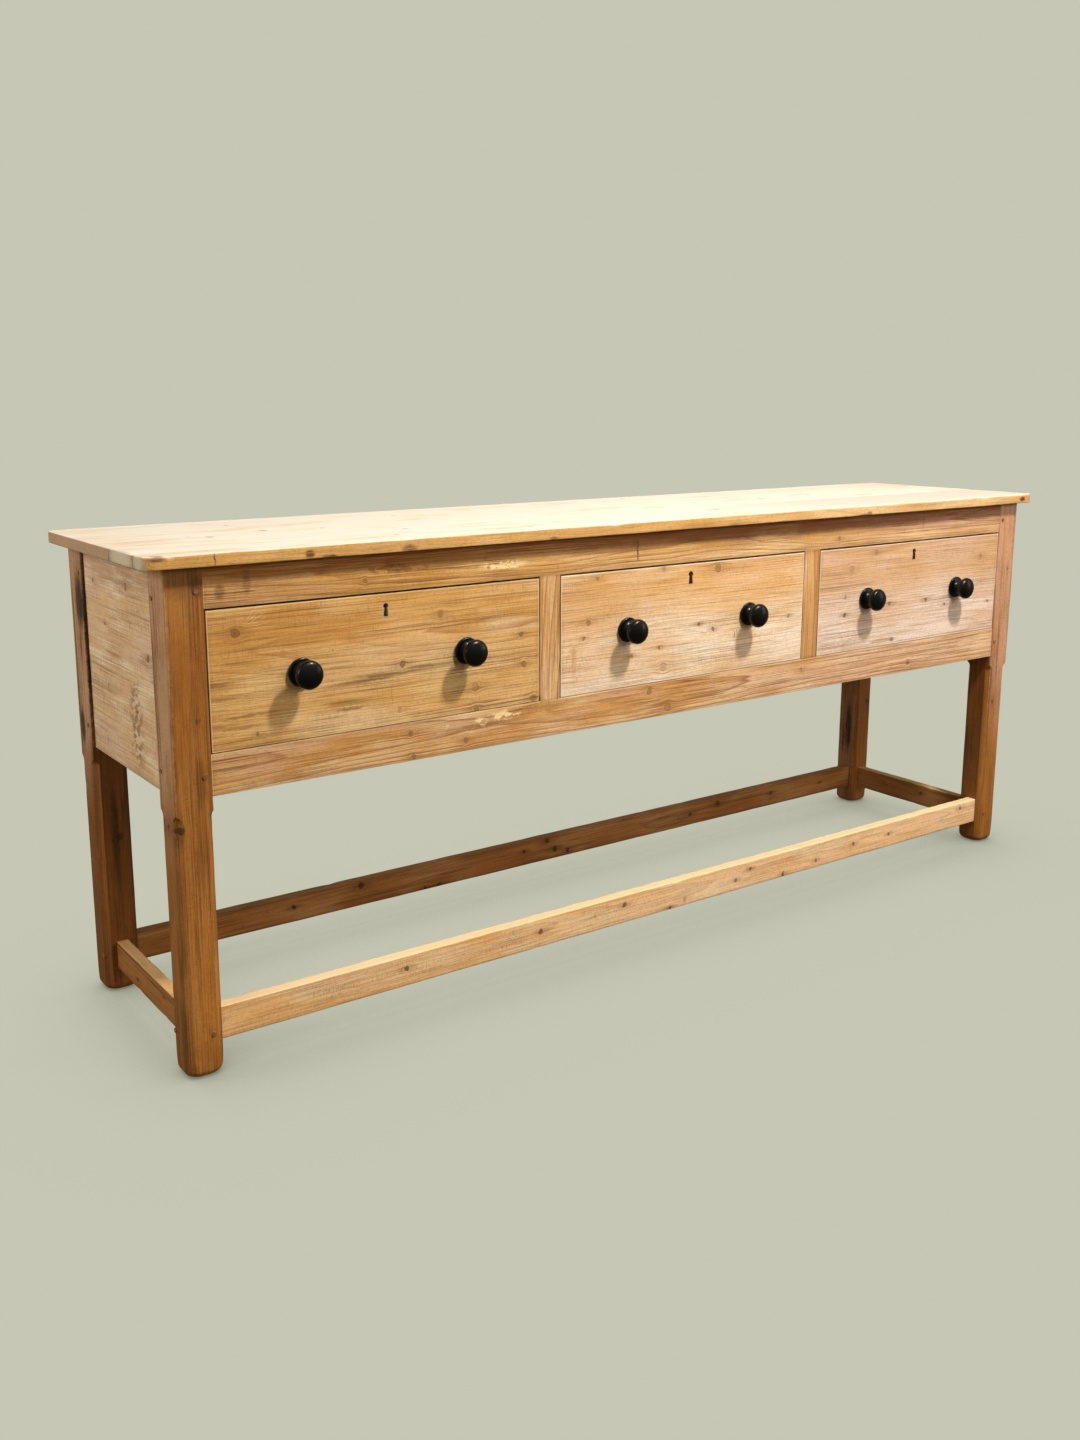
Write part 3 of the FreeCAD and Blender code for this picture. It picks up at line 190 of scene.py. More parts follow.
class Wire:
    """An output of a material's nodes. Arithmetic on wires adds Math nodes, and node() adds any other."""

    def __init__(self, tree, socket=None):
        self.tree = tree
        self.socket = socket

    def node(self, kind, settings=None, inputs=None, output=0):
        """Adds a node: its settings first, a ramp's stops among them, then what its sockets are fed."""
        made = self.tree.nodes.new("ShaderNode" + kind)
        for key, value in (settings or {}).items():
            if key == "stops":
                ramp = made.color_ramp.elements
                while len(ramp) < len(value):
                    ramp.new(0.5)
                for stop, (place, level) in zip(ramp, value):
                    stop.position = place
                    stop.color = (level, level, level, 1)
            else:
                setattr(made, key, value)
        self.fill(made, inputs or {})
        return Wire(self.tree, made.outputs[output])

    def fill(self, made, inputs):
        """Links the wires among these inputs to a node's sockets, and sets the others as plain values."""
        for key, value in inputs.items():
            if isinstance(value, Wire):
                self.tree.links.new(value.socket, made.inputs[key])
            else:
                made.inputs[key].default_value = value

    def math(self, operation, *values, clamp=False):
        """A Math node on these values, wires or numbers."""
        return self.node("Math", {"operation": operation, "use_clamp": clamp}, dict(enumerate(values)))

    def __add__(self, other):
        return self.math("ADD", self, other)

    __radd__ = __add__

    def __sub__(self, other):
        return self.math("SUBTRACT", self, other)

    def __rsub__(self, other):
        return self.math("SUBTRACT", other, self)

    def __mul__(self, other):
        return self.math("MULTIPLY", self, other)

    __rmul__ = __mul__

    def __truediv__(self, other):
        return self.math("DIVIDE", self, other)

    def ramp(self, low, high):
        """Rises smoothly from 0 where the wire is at low to 1 where it is at high."""
        limits = {"Value": self, "From Min": low, "From Max": high}
        return self.node("MapRange", {"interpolation_type": "SMOOTHSTEP"}, limits)

    def vector(self, operation, *values, output=0, scale=None):
        """A Vector Math node on these values."""
        inputs = dict(enumerate(values))
        if scale is not None:
            inputs["Scale"] = scale
        return self.node("VectorMath", {"operation": operation}, inputs, output)

    def split(self):
        """The three parts of a vector."""
        made = self.node("SeparateXYZ", None, {0: self})
        return [Wire(self.tree, socket) for socket in made.socket.node.outputs]

    def join(self, *values):
        """A vector of three values."""
        return self.node("CombineXYZ", None, dict(enumerate(values)))

    def blend(self, colour, other, share):
        """Two colours mixed, with this share of the other."""
        settings = {"data_type": "RGBA", "blend_type": "MIX", "clamp_factor": True}
        return self.node("Mix", settings, {0: share, 6: colour, 7: other}, 2)

    def noise(self, lengths, shift, detail=3.0, rough=0.55):
        """Noise from 0 to 1, drawn out to these lengths along the three parts of the wire, a vector."""
        inputs = {"Vector": self, "Location": shift, "Scale": [1 / k for k in lengths]}
        return self.node("Mapping", None, inputs).speckle(1.0, detail, rough)

    def speckle(self, size, detail, rough=0.5):
        """Even noise from 0 to 1 over the wire, a place, in patches of about this size."""
        inputs = {"Vector": self, "Scale": 1 / size, "Detail": detail, "Roughness": rough}
        return self.node("TexNoise", None, inputs)

    def line_noise(self, length, shift, detail=2.0):
        """Noise from -0.5 to 0.5 along one value, a wire."""
        inputs = {"W": self / length + shift, "Scale": 1.0, "Detail": detail}
        return self.node("TexNoise", {"noise_dimensions": "1D"}, inputs) - 0.5


def colour(red, green, blue):
    """A colour as a screen shows it, from 0 to 255, made linear."""
    shown = np.array((red, green, blue)) / 255
    linear = np.where(shown > 0.04045, ((shown + 0.055) / 1.055) ** 2.4, shown / 12.92)
    return (*linear.tolist(), 1.0)


def new_material(name):
    """A new material, the wire that its nodes start from, and its Principled shader."""
    material = bpy.data.materials.new(name)
    material.use_nodes = True
    tree = material.node_tree
    return material, Wire(tree), tree.nodes["Principled BSDF"]


THROUGH = 1000
SWIRL_SIZE = 9
SWIRL_REACH = 7.0
WORM_SPACING = 44
Knot = namedtuple("Knot", "along across radius dark")
Mark = namedtuple("Mark", "place size strength colour lean broken under", defaults=(0, False, False))
Finish = namedtuple("Finish", "early late deep wash pale stain knot sheen")
# Wear's arris is a painted highlight: a pale line along each face's edges, where a rounded arris catches
# light.
Wear = namedtuple(
    "Wear",
    "rings figure deep wash pale smoke lines weave grime specks fade arris",
    defaults=(4.5, 0.6, 0.4, 0.4, 0.5, 0.4, 0.4, 0.25, 0.4, 0.5, 0, 0),
)
END_GRAIN = colour(120, 84, 50)
SPECK = colour(52, 32, 18)
DARK_RIM = colour(70, 40, 20)


def wood(*shown, sheen):
    """A finish of seven colours as a screen shows them, in the order of its names."""
    return Finish(*(colour(*tone) for tone in shown), sheen)


def spot(place, size, *rest, **more):
    """A mark that goes right through its board, placed and sized on the face alone."""
    return Mark((*place, 0), (*size, THROUGH), *rest, **more)


def stand_off(wire, point, place, size, lean=0):
    """How far a point is from a place, counted in sizes that are turned by lean in degrees."""
    inputs = {"Vector": point, "Location": place, "Scale": size, "Rotation": (0, 0, np.radians(lean))}
    return wire.node("Mapping", {"vector_type": "TEXTURE"}, inputs)


def board_place(wire, box, grain, across):
    """A point on a board, in millimetres from its middle: along the grain, across the face and into it."""
    middle = (box[0] + box[1]) / 2
    parts = stand_off(wire, wire.node("TexCoord", output="Object"), middle, (MM, MM, MM)).split()
    return wire.join(parts[grain], parts[across], parts[3 - grain - across])


def grow_knots(wire, face, stirred, knots):
    """Bends the grain round knots, by a bell curve on each.

    Gives the bent place, the distance to the nearest knot in its radii, and the strengths of knot and tails.
    """
    flow = face
    nearest = 9.0
    dark = 0.0
    tails = 0.0
    for knot in knots:
        reach = (knot.radius, 1.1 * knot.radius, THROUGH)
        offset = stand_off(wire, stirred, (knot.along, knot.across, 0), reach)
        away = wire.vector("LENGTH", offset, output=1)
        bell = wire.math("POWER", 0.72, away * away)
        push = wire.vector("MULTIPLY", offset, (0.3 * reach[0], 0.8 * reach[1], 0))
        flow = wire.vector("SUBTRACT", flow, wire.vector("SCALE", push, scale=bell))
        nearest = wire.math("MINIMUM", nearest, away)
        core = wire.math("MULTIPLY_ADD", away, -3.0, 3.9, clamp=True)
        dark = wire.math("MAXIMUM", dark, knot.dark * core)
        drawn_out = wire.vector("MULTIPLY", offset, (0.2, 0.75, 1))
        tail = wire.vector("LENGTH", drawn_out, output=1).ramp(1.5, 0.2)
        tails = wire.math("MAXIMUM", tails, knot.dark * tail)
    return flow, nearest, dark, tails


def year_rings(wire, flow, heart, spacing, random):
    """Late wood from 0 to 1: a thin dark band in each year, by the distance from a wandering heart line."""
    s, a, b = flow.split()
    aside = a + 26 * s.line_noise(700, random.uniform(0, 90)) - heart[0]
    deep = b + 30 * s.line_noise(900, random.uniform(0, 90)) + s * random.uniform(-0.012, 0.012) - heart[1]
    radius = wire.vector("LENGTH", wire.join(aside, deep, 0.0), output=1)
    radius = radius + 3.5 * (flow.noise((260, 16, 16), random.uniform(-50, 50, 3).tolist(), 2.0) - 0.5)
    turns = radius / spacing + 1.6 * radius.line_noise(30, random.uniform(0, 90))
    ring = wire.math("FLOOR", turns)
    stops = ((0, 0), (0.45, 0.05), (0.78, 0.4), (0.93, 1), (1, 0))
    late = wire.node("ValToRGB", {"stops": stops}, {0: turns - ring})
    years = wire.node("TexWhiteNoise", {"noise_dimensions": "1D"}, {"W": ring})
    return late * (0.25 + 0.75 * years)


def pine(name, box, grain, across, finish, random, knots=(), marks=(), wear=Wear(), heart=None,
         upward_wear_and_shade=None, ends=END_GRAIN):
    """Old pine, worked out in millimetres along the grain, across the board's face and into it.

    Year rings and knots come first. Over them lie, from noise drawn out along the grain: wide deep and
    washed clouds, pale rubbed patches, smoky streaks and thin dark lines; and in patches, from noise drawn
    out across it, the ticks of a scraper. Grime lies along the edges, and a painted highlight can run pale
    along them, where a rounded arris would catch the light. There are worm holes and marks, the broad ones
    under the grain. Faces that look up can be given one colour: scrubbed wear on the top and stretchers,
    painted shade on the drawer fronts' upper edges.
    """
    half = (box[1] - box[0]) / 2 / MM
    into = 3 - grain - across
    if not heart:
        aside = random.uniform(-0.3, 0.3) * half[across]
        heart = (aside, (half[into] + 25) * random.choice((-1, 1)))
    material, wire, shader = new_material(name)

    def shift():
        return random.uniform(-50, 50, 3).tolist()

    def lay_marks(tone, under):
        """Lays the marks under the grain, or those over it: bell-like patches, some broken up."""
        for mark in marks:
            if mark.under != under:
                continue
            offset = stand_off(wire, stirred, mark.place, mark.size, mark.lean)
            share = mark.strength * wire.vector("LENGTH", offset, output=1).ramp(1.15, 0.4)
            if mark.broken:
                share = share * face.noise((16, 9, 16), shift(), 4.0, 0.6).ramp(0.47, 0.55)
            grained = rubbed.ramp(0.3, 0.6) if under else fibre.ramp(0.3, 0.65)
            tone = wire.blend(tone, mark.colour, share * (0.45 + 0.9 * grained))
        return tone

    face = board_place(wire, box, grain, across)
    swirl = wire.node("TexNoise", None, {"Vector": face, "Scale": 1 / SWIRL_SIZE, "Detail": 2.0}, 1)
    swirl = wire.vector("SCALE", wire.vector("SUBTRACT", swirl, (0.5, 0.5, 0.5)), scale=SWIRL_REACH)
    stirred = wire.vector("ADD", face, swirl)
    flow, nearest, dark, tails = grow_knots(wire, face, stirred, knots)
    late = year_rings(wire, flow, heart, wear.rings, random)

    fibre = flow.noise((100, 1.9, 1.9), shift(), 3.0, 0.6)
    cloud = face.noise((300, 90, 160), shift(), 3.0, 0.5)
    rubbed = face.noise((170, 48, 80), shift(), 4.0, 0.55) + 0.3 * (fibre - 0.5)
    patch = face.noise((150, 34, 60), shift(), 4.0, 0.6)
    smoke = flow.noise((420, 4.5, 16), shift(), 3.0, 0.55).ramp(0.5, 0.7) * patch.ramp(0.4, 0.6)
    lines = flow.noise((560, 1.5, 6), shift(), 2.0, 0.5).ramp(0.54, 0.64)
    ticks = face.noise((1.5, 13, 14), shift(), 3.0, 0.6).ramp(0.5, 0.7)
    ticks = ticks * (0.4 + 0.6 * patch.ramp(0.5, 0.64))
    pores = face.noise((6, 1.1, 2), shift(), 2.0, 0.6)

    tone = wire.blend(finish.early, finish.deep, wear.deep * cloud.ramp(0.54, 0.38))
    tone = wire.blend(tone, finish.wash, wear.wash * cloud.ramp(0.46, 0.6))
    tone = lay_marks(tone, True)
    worn = wear.pale * rubbed.ramp(0.46, 0.66)
    smoky = wear.smoke * smoke
    if wear.fade:
        lower = (face.split()[1] + 190 * (cloud - 0.5)).ramp(60, -40)
        worn = worn + wear.fade * lower * (0.5 + 0.5 * rubbed.ramp(0.36, 0.6))
        smoky = smoky * (0.35 + lower)
    tone = wire.blend(tone, finish.pale, worn * (0.6 + 0.7 * fibre))
    tone = wire.blend(tone, finish.late, wear.figure * late)
    tone = wire.blend(tone, finish.stain, smoky * (0.5 + 0.7 * fibre))
    tone = wire.blend(tone, finish.stain, wear.lines * lines * (0.3 + 0.7 * patch.ramp(0.4, 0.6)))
    tone = wire.blend(tone, finish.stain, wear.weave * ticks)
    tone = wire.blend(tone, finish.pale, 0.2 * fibre.ramp(0.52, 0.7))
    tone = wire.blend(tone, finish.stain, 0.36 * fibre.ramp(0.5, 0.28) + 0.3 * pores.ramp(0.5, 0.3))
    height = 0.35 * fibre - 0.3 * late - 0.25 * ticks

    reach = (half[grain], half[across], THROUGH)
    spans = wire.vector("SUBTRACT", reach, wire.vector("ABSOLUTE", face)).split()
    edge = wire.math("MINIMUM", spans[0], spans[1])
    if wear.grime:
        tone = wire.blend(tone, finish.stain, wear.grime * (edge + 22 * (rubbed - 0.5)).ramp(9, 0))
    # Painted highlight: a pale line along the face's edges, where a rounded arris would catch the light.
    if wear.arris:
        tone = wire.blend(tone, finish.pale, wear.arris * edge.ramp(3.2, 1.4) * (0.5 + rubbed))
    normal = wire.node("TexCoord", output="Normal").split()
    ended = wire.math("ABSOLUTE", normal[grain]).ramp(0.6, 0.9)
    tone = wire.blend(tone, ends, ended * (0.35 + 0.7 * rubbed))
    if knots:
        tone = wire.blend(tone, finish.stain, 0.5 * tails)
        core = dark * nearest.ramp(1.06, 0.82)
        tone = wire.blend(tone, finish.knot, core * (0.65 + 0.4 * fibre))
        rim = dark * nearest.ramp(0.66, 0.92) * nearest.ramp(1.2, 0.98)
        tone = wire.blend(tone, DARK_RIM, 0.55 * rim + 0.4 * dark * nearest.ramp(0.5, 0.1))
        height = height - 0.5 * rim
    # Faces that look up take one colour: scrubbed wear on the top and stretchers, painted shade on the
    # drawers' upper edges.
    if upward_wear_and_shade:
        golden = 0.35 * smoke + 0.3 * rubbed.ramp(0.54, 0.68)
        golden = golden + 0.2 * spans[0].ramp(200, 0) * rubbed.ramp(0.3, 0.6)
        golden = golden + 0.14 * late + 0.1 * lines + 0.55 * dark * nearest.ramp(1.1, 0.8)
        bare = wire.math("SUBTRACT", 1, golden, clamp=True)
        tone = wire.blend(tone, upward_wear_and_shade, normal[Z].ramp(0.45, 0.85) * bare)
    tone = lay_marks(tone, False)
    cells = {"Vector": face, "Scale": 1 / WORM_SPACING, "Randomness": 1.0}
    pits = wire.node("TexVoronoi", None, cells)
    chance = wire.node("TexVoronoi", None, cells, 1)
    present = wire.node("SeparateColor", None, {0: chance}).ramp(0.62, 0.64)
    pit = wear.specks * present * pits.ramp(0.045, 0.022)
    tone = wire.blend(tone, SPECK, pit)

    rough = finish.sheen + 0.16 * rubbed + 0.1 * fibre
    relief = {"Strength": 0.5, "Distance": 0.5 * MM, "Height": height - 1.4 * pit}
    bump = wire.node("Bump", None, relief)
    wire.fill(shader, {"Base Color": tone, "Roughness": rough, "Normal": bump, "Specular IOR Level": 0.35})
    return material


def random_knots(random, count, box, grain, across, sizes=(5, 11)):
    """Knots strewn over a board whose real ones aren't known, in millimetres from its middle."""
    half = (box[1] - box[0]) / 2 / MM
    return [
        Knot(random.uniform(-0.92, 0.92) * half[grain], random.uniform(-0.8, 0.8) * half[across],
             random.uniform(*sizes), random.uniform(0.45, 1))
        for _ in range(count)
    ]


def add_timber(node, surface, material):
    """Makes the board that stands for a CAD node, smooth but for sharp edges, and fixes it to the case."""
    mesh = bpy.data.meshes.new(node + "_timber")
    mesh.from_pydata(surface[0].tolist(), [], surface[1])
    mesh.shade_smooth()
    mesh.set_sharp_from_angle(angle=np.radians(SHARP_DEGREES))
    mesh.materials.append(material)
    piece = bpy.data.objects.new(node + "_timber", mesh)
    bpy.context.scene.collection.objects.link(piece)
    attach(piece, "carcase")
    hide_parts(node)


stop_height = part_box("bottom_rail")[0][Z] - STOP_BELOW_CASE


def leg_chamfer(s):
    """Size and flatness of the chamfer at a height.

    It is full and flat up to the stop, where an arc of the stop's radius brings it back to the corner. At the
    foot it is worn wider and round, by the square of the nearness to the floor.
    """
    rise = np.clip(s - (stop_height - STOP_RADIUS), 0, STOP_RADIUS)
    scoop = STOP_RADIUS - np.sqrt(STOP_RADIUS**2 - rise**2)
    foot = np.clip(1 - s / FOOT_WEAR, 0, 1) ** 2
    return np.maximum(CHAMFER * (1 + FOOT_WIDENING * foot) - np.sqrt(2) * scoop, 0), 1 - foot


waxed_leg = wood((174, 112, 42), (136, 80, 26), (150, 92, 34), (164, 112, 66),
                 (188, 134, 70), (88, 50, 18), (80, 42, 16), sheen=0.42)
# Painted shade: a darker copy of waxed_leg, for the back-left leg in shade under the case.
painted_shade_back_leg = wood((150, 92, 32), (112, 64, 20), (124, 74, 26), (140, 92, 52),
                      (166, 114, 58), (70, 38, 14), (64, 34, 14), sheen=0.42)
DRY_LEG = colour(224, 180, 138)
# Fading on the front-right leg's front, and painted light on the back-right leg's inner face.
FADED_LEG_AND_PAINTED_LIGHT = colour(212, 165, 134)
GOLD_LEG = colour(206, 138, 60)
CHAR = colour(34, 22, 18)
# Old wax on pegs, ends and the left stretcher, and painted shade at the top of the front-left leg, under the
# top.
OLD_WAX_AND_SHADE = colour(84, 54, 20)
leg_knots = {
    "front_left_leg": [Knot(6, -25, 6, 1), Knot(176, 12, 4, 0.4)],
    "front_right_leg": [Knot(-60, -10, 4, 0.6), Knot(260, 12, 4, 0.5)],
    "back_left_leg": [Knot(-120, 8, 6, 0.7), Knot(150, 0, 5, 0.7)],
    "back_right_leg": [Knot(30, -6, 7, 0.8), Knot(-140, 10, 5, 0.8)],
}
leg_marks = {
    "front_left_leg": [
        Mark((240, -32, 0), (300, 7, 70), 0.85, DRY_LEG, under=True),
        # Painted shade: a darker patch at the top of the front face, under the top.
        Mark((400, 0, -32), (40, 40, 20), 0.4, OLD_WAX_AND_SHADE),
        Mark((385, 22, -32), (22, 12, 20), 0.6, OLD_WAX_AND_SHADE), Mark((76, 13, -32), (48, 10, 20), 0.5, OLD_WAX_AND_SHADE),
        Mark((-230, 0, -32), (170, 60, 14), 0.5, GOLD_LEG, under=True),
    ],
    "front_right_leg": [
        Mark((240, 0, -32), (420, 80, 8), 0.75, FADED_LEG_AND_PAINTED_LIGHT, under=True),
        Mark((240, 32, 0), (300, 7, 70), 0.6, DRY_LEG, under=True),
    ],
    "back_left_leg": [
        Mark((240, -32, 0), (300, 7, 70), 0.95, DRY_LEG, under=True),
        Mark((313, -32, -14), (56, 10, 24), 1, CHAR), Mark((235, -32, -8), (45, 10, 5), 0.5, CHAR),
        Mark((86, -32, 10), (38, 10, 13), 1, CHAR), Mark((-120, 0, -32), (120, 9, 10), 0.6, CHAR),
        Mark((235, -26, -32), (200, 6, 5), 0.95, CHAR),
    ],
    "back_right_leg": [
        Mark((240, 32, 0), (300, 7, 70), 0.6, DRY_LEG, under=True),
        Mark((-209, -32, -8), (76, 10, 11), 0.95, CHAR), Mark((-240, -32, 8), (44, 10, 4), 0.7, CHAR),
        # Painted light: this inner face, in shade under the case, is lightened.
        Mark((-200, -32, 0), (300, 8, 70), 0.5, FADED_LEG_AND_PAINTED_LIGHT, under=True),
    ],
}
for number, leg in enumerate(leg_knots):
    random = np.random.default_rng(LEG_SEED + number)
    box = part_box(leg)
    surface = timber(*box, Z, random, LEG_ARRIS, ends=(FOOT_ROUND, 1 * MM), step=LEG_STEP, corner=leg_chamfer)
    worn = Wear(deep=0.7, pale=0.35, smoke=0.6, lines=0.6, weave=0.6)
    # The back-left leg takes the darker copy, its painted shade.
    finish = painted_shade_back_leg if leg == "back_left_leg" else waxed_leg
    knots, marks = leg_knots[leg], leg_marks[leg]
    material = pine(leg + "_pine", box, Z, X, finish, random, knots, marks, worn, heart=(18, 55))
    add_timber(leg, surface, material)

# Stretchers: four rails that tie the legs together a hand above the floor. The front one has served as a foot
# rest and is scuffed pale, and the others keep more of their old wax. Their tenons are hidden in the legs.
STRETCHER_SEED = 200
STRETCHER_ARRIS = 2.6 * MM
LONG_STEP = 4.5 * MM
TENON_SHOW = 1.5 * MM
waxed_rail = wood((250, 200, 138), (196, 140, 86), (232, 174, 106), (248, 212, 172),
                  (248, 220, 178), (136, 90, 50), (108, 66, 34), sheen=0.45)
waxed_back = wood((182, 120, 58), (136, 84, 38), (154, 96, 40), (176, 124, 80),
                  (198, 152, 100), (80, 46, 20), (62, 34, 16), sheen=0.45)


def shoulder_box(node, grain, walls):
    """A rail's box from shoulder to shoulder, a little way into the two posts that its tenons enter."""
    low, high = (corner.copy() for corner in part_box(node))
    low[grain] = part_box(walls[0])[1][grain] - TENON_SHOW
    high[grain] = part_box(walls[1])[0][grain] + TENON_SHOW
    return low, high


front_posts = ("front_left_leg", "front_right_leg")
back_posts = ("back_left_leg", "back_right_leg")
left_posts = ("front_left_leg", "back_left_leg")
right_posts = ("front_right_leg", "back_right_leg")
stretchers = [
    ("front_stretcher", X, front_posts, waxed_rail,
     Wear(pale=0.8, wash=0.6, smoke=0.5, weave=0.6, grime=0.15)),
    ("back_stretcher", X, back_posts, waxed_back, Wear(smoke=0.6, lines=0.6, specks=1)),
    ("left_stretcher", Y, left_posts, waxed_back,
     Wear(deep=1, wash=0, pale=0.1, smoke=1, lines=0.9, weave=0.6)),
    ("right_stretcher", Y, right_posts, waxed_back, Wear(smoke=0.6)),
]
FOOT_WORN = colour(244, 214, 170)
FOOT_RUBBED = colour(206, 166, 112)
SCUFFED = colour(252, 210, 168)
stretcher_knots = {
    "front_stretcher": [
        Knot(-628, 4, 4.5, 0.9), Knot(-335, 3, 4.5, 0.9), Knot(-130, 9, 4, 0.9), Knot(-10, -24, 3.5, 1),
        Knot(30, -14, 5, 0.4), Knot(173, -5, 4, 0.8), Knot(215, 11, 4, 0.8), Knot(315, -22, 4, 0.9),
        Knot(417, -13, 4, 0.7), Knot(539, 2, 4, 0.8), Knot(658, 2, 4, 0.8), Knot(919, 16, 4, 0.8),
    ],
    "back_stretcher": [
        Knot(-656, 4, 4.5, 1), Knot(-504, 16, 6, 0.9), Knot(-351, -24, 4, 0.8), Knot(-316, -25, 5, 0.9),
        Knot(-92, 5, 4, 0.9), Knot(-7, -5, 6, 0.9), Knot(-29, 18, 6, 0.9), Knot(30, -15, 5, 0.9),
        Knot(405, 0, 5, 0.8), Knot(496, 11, 7, 0.8), Knot(682, 4, 4, 0.9), Knot(863, 3, 3, 0.8),
    ],
    "left_stretcher": [Knot(-70, 10, 3.5, 0.6), Knot(60, -8, 4, 0.7)],
    "right_stretcher": [Knot(-40, 6, 4, 0.6)],
}
stretcher_marks = {
    "front_stretcher": [spot((520, 0), (760, 70), 0.7, SCUFFED, under=True)],
    "left_stretcher": [spot((0, 0), (1000, 1000), 0.22, OLD_WAX_AND_SHADE, under=True)],
}
for number, (node, grain, posts, finish, worn) in enumerate(stretchers):
    random = np.random.default_rng(STRETCHER_SEED + number)
    box = shoulder_box(node, grain, posts)
    surface = timber(*box, grain, random, STRETCHER_ARRIS, step=LONG_STEP, chips=14)
    knots, marks = stretcher_knots[node], stretcher_marks.get(node, ())
    worn_top = {"front_stretcher": FOOT_WORN, "back_stretcher": None}.get(node, FOOT_RUBBED)
    material = pine(node + "_pine", box, grain, Z, finish, random, knots, marks, worn, upward_wear_and_shade=worn_top)
    add_timber(node, surface, material)

# Rails and muntins: the frame round the drawers. Two long rails are tenoned and pegged into the front legs,
# and two short uprights stand between them, so that each drawer has its own opening. Strikes in the top
# rail's lower edge take the locks' bolts.
DRAWERS = ("left", "middle", "right")
RAIL_SEED = 300
MUNTIN_SEED = 320
RAIL_ARRIS = 1.1 * MM
STRIKE_CLEARANCE = 1 * MM
STRIKE_DEPTH = 8 * MM
waxed_top_rail = wood((212, 160, 88), (148, 96, 40), (192, 134, 60), (206, 164, 120),
                      (234, 196, 134), (106, 64, 26), (108, 66, 32), sheen=0.45)
waxed_bottom_rail = wood((214, 162, 98), (150, 98, 48), (196, 140, 74), (226, 184, 154),
                         (240, 208, 164), (120, 76, 38), (120, 74, 40), sheen=0.45)
# Painted shade under the top's overhang, darker than the lamp's own shadow there.
PAINTED_SHADE_UNDER_TOP = colour(134, 74, 8)
ROSY = colour(228, 188, 158)
DRIP = colour(92, 54, 26)
# Grime and painted shade: the rail's upper half, under the top, darker and greyer.
GRIME_AND_PAINTED_SHADE = colour(148, 108, 84)
RAIL_PALE = colour(228, 190, 146)
RAIL_PINK = colour(208, 166, 146)
SCRAPE = colour(246, 216, 164)
rail_knots = {
    "top_rail": [Knot(-700, -12, 4, 0.5), Knot(430, -14, 4, 0.5)],
    "bottom_rail": [
        Knot(-88, 20, 6, 0.5), Knot(-40, -18, 8, 0.4), Knot(674, -14, 5, 0.5), Knot(-507, -15, 5, 0.5),
        Knot(-619, 15, 4, 0.5), Knot(-614, -26, 4, 0.6), Knot(330, 12, 4, 0.4),
    ],
}
rail_marks = {
    "top_rail": [
        spot((-122, 2), (3, 26), 0.75, DRIP), spot((-128, 16), (9, 12), 0.5, DRIP),
        # The second mark here is painted shade: a dark band along the rail's upper edge, under the top's
        # overhang.
        spot((700, 10), (2.5, 24), 0.5, DRIP), spot((0, 36), (3000, 36), 0.85, PAINTED_SHADE_UNDER_TOP),
        # Grime and painted shade over the rail's upper half.
        spot((480, 24), (800, 34), 1, GRIME_AND_PAINTED_SHADE, under=True),
        spot((230, 6), (130, 22), 0.6, GRIME_AND_PAINTED_SHADE, under=True),
        spot((480, -26), (800, 22), 0.8, RAIL_PALE, under=True),
        spot((800, 8), (300, 30), 0.7, RAIL_PINK, under=True),
        spot((-950, -8), (10, 16), 0.5, DRIP), spot((-905, 4), (8, 24), 0.4, DRIP),
        spot((-425, -6), (56, 9), 0.9, SCRAPE, broken=True),
        spot((-640, 4), (90, 9), 0.5, DRIP, broken=True),
    ],
    "bottom_rail": [
        spot((-549, 18), (8, 7), 0.9, SCRAPE, broken=True),
        spot((-477, 14), (15, 10), 1, SCRAPE, broken=True),
        spot((-425, 20), (48, 11), 0.9, SCRAPE, 4, broken=True),
        spot((560, 0), (620, 60), 0.75, ROSY, under=True),
    ],
}


def cut_strikes(surface, edge):
    """A rail's surface with a strike for each bolt, cut up from its lower edge: a box round the bolt's."""
    cutter = bmesh.new()
    for drawer in DRAWERS:
        low, high = np.array(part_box(drawer + "_drawer_bolt"))
        low, high = low - STRIKE_CLEARANCE, high + STRIKE_CLEARANCE
        low[Z], high[Z] = edge - STRIKE_DEPTH, edge + STRIKE_DEPTH
        place = Matrix.LocRotScale(Vector((low + high) / 2), None, Vector(high - low))
        bmesh.ops.create_cube(cutter, size=1, matrix=place)
    meshes = [bpy.data.meshes.new(name) for name in ("uncut_rail", "strike_boxes")]
    meshes[0].from_pydata(surface[0].tolist(), [], surface[1])
    cutter.to_mesh(meshes[1])
    cutter.free()
    rail, boxes = (bpy.data.objects.new(mesh.name, mesh) for mesh in meshes)
    for made in (rail, boxes):
        bpy.context.scene.collection.objects.link(made)
    cut = rail.modifiers.new("strikes", "BOOLEAN")
    cut.operation = "DIFFERENCE"
    cut.solver = "EXACT"
    cut.object = boxes
    result = rail.evaluated_get(bpy.context.evaluated_depsgraph_get()).data
    points = np.array([vertex.co for vertex in result.vertices])
    faces = [list(face.vertices) for face in result.polygons]
    for mesh in meshes:
        bpy.data.meshes.remove(mesh)
    return points, faces


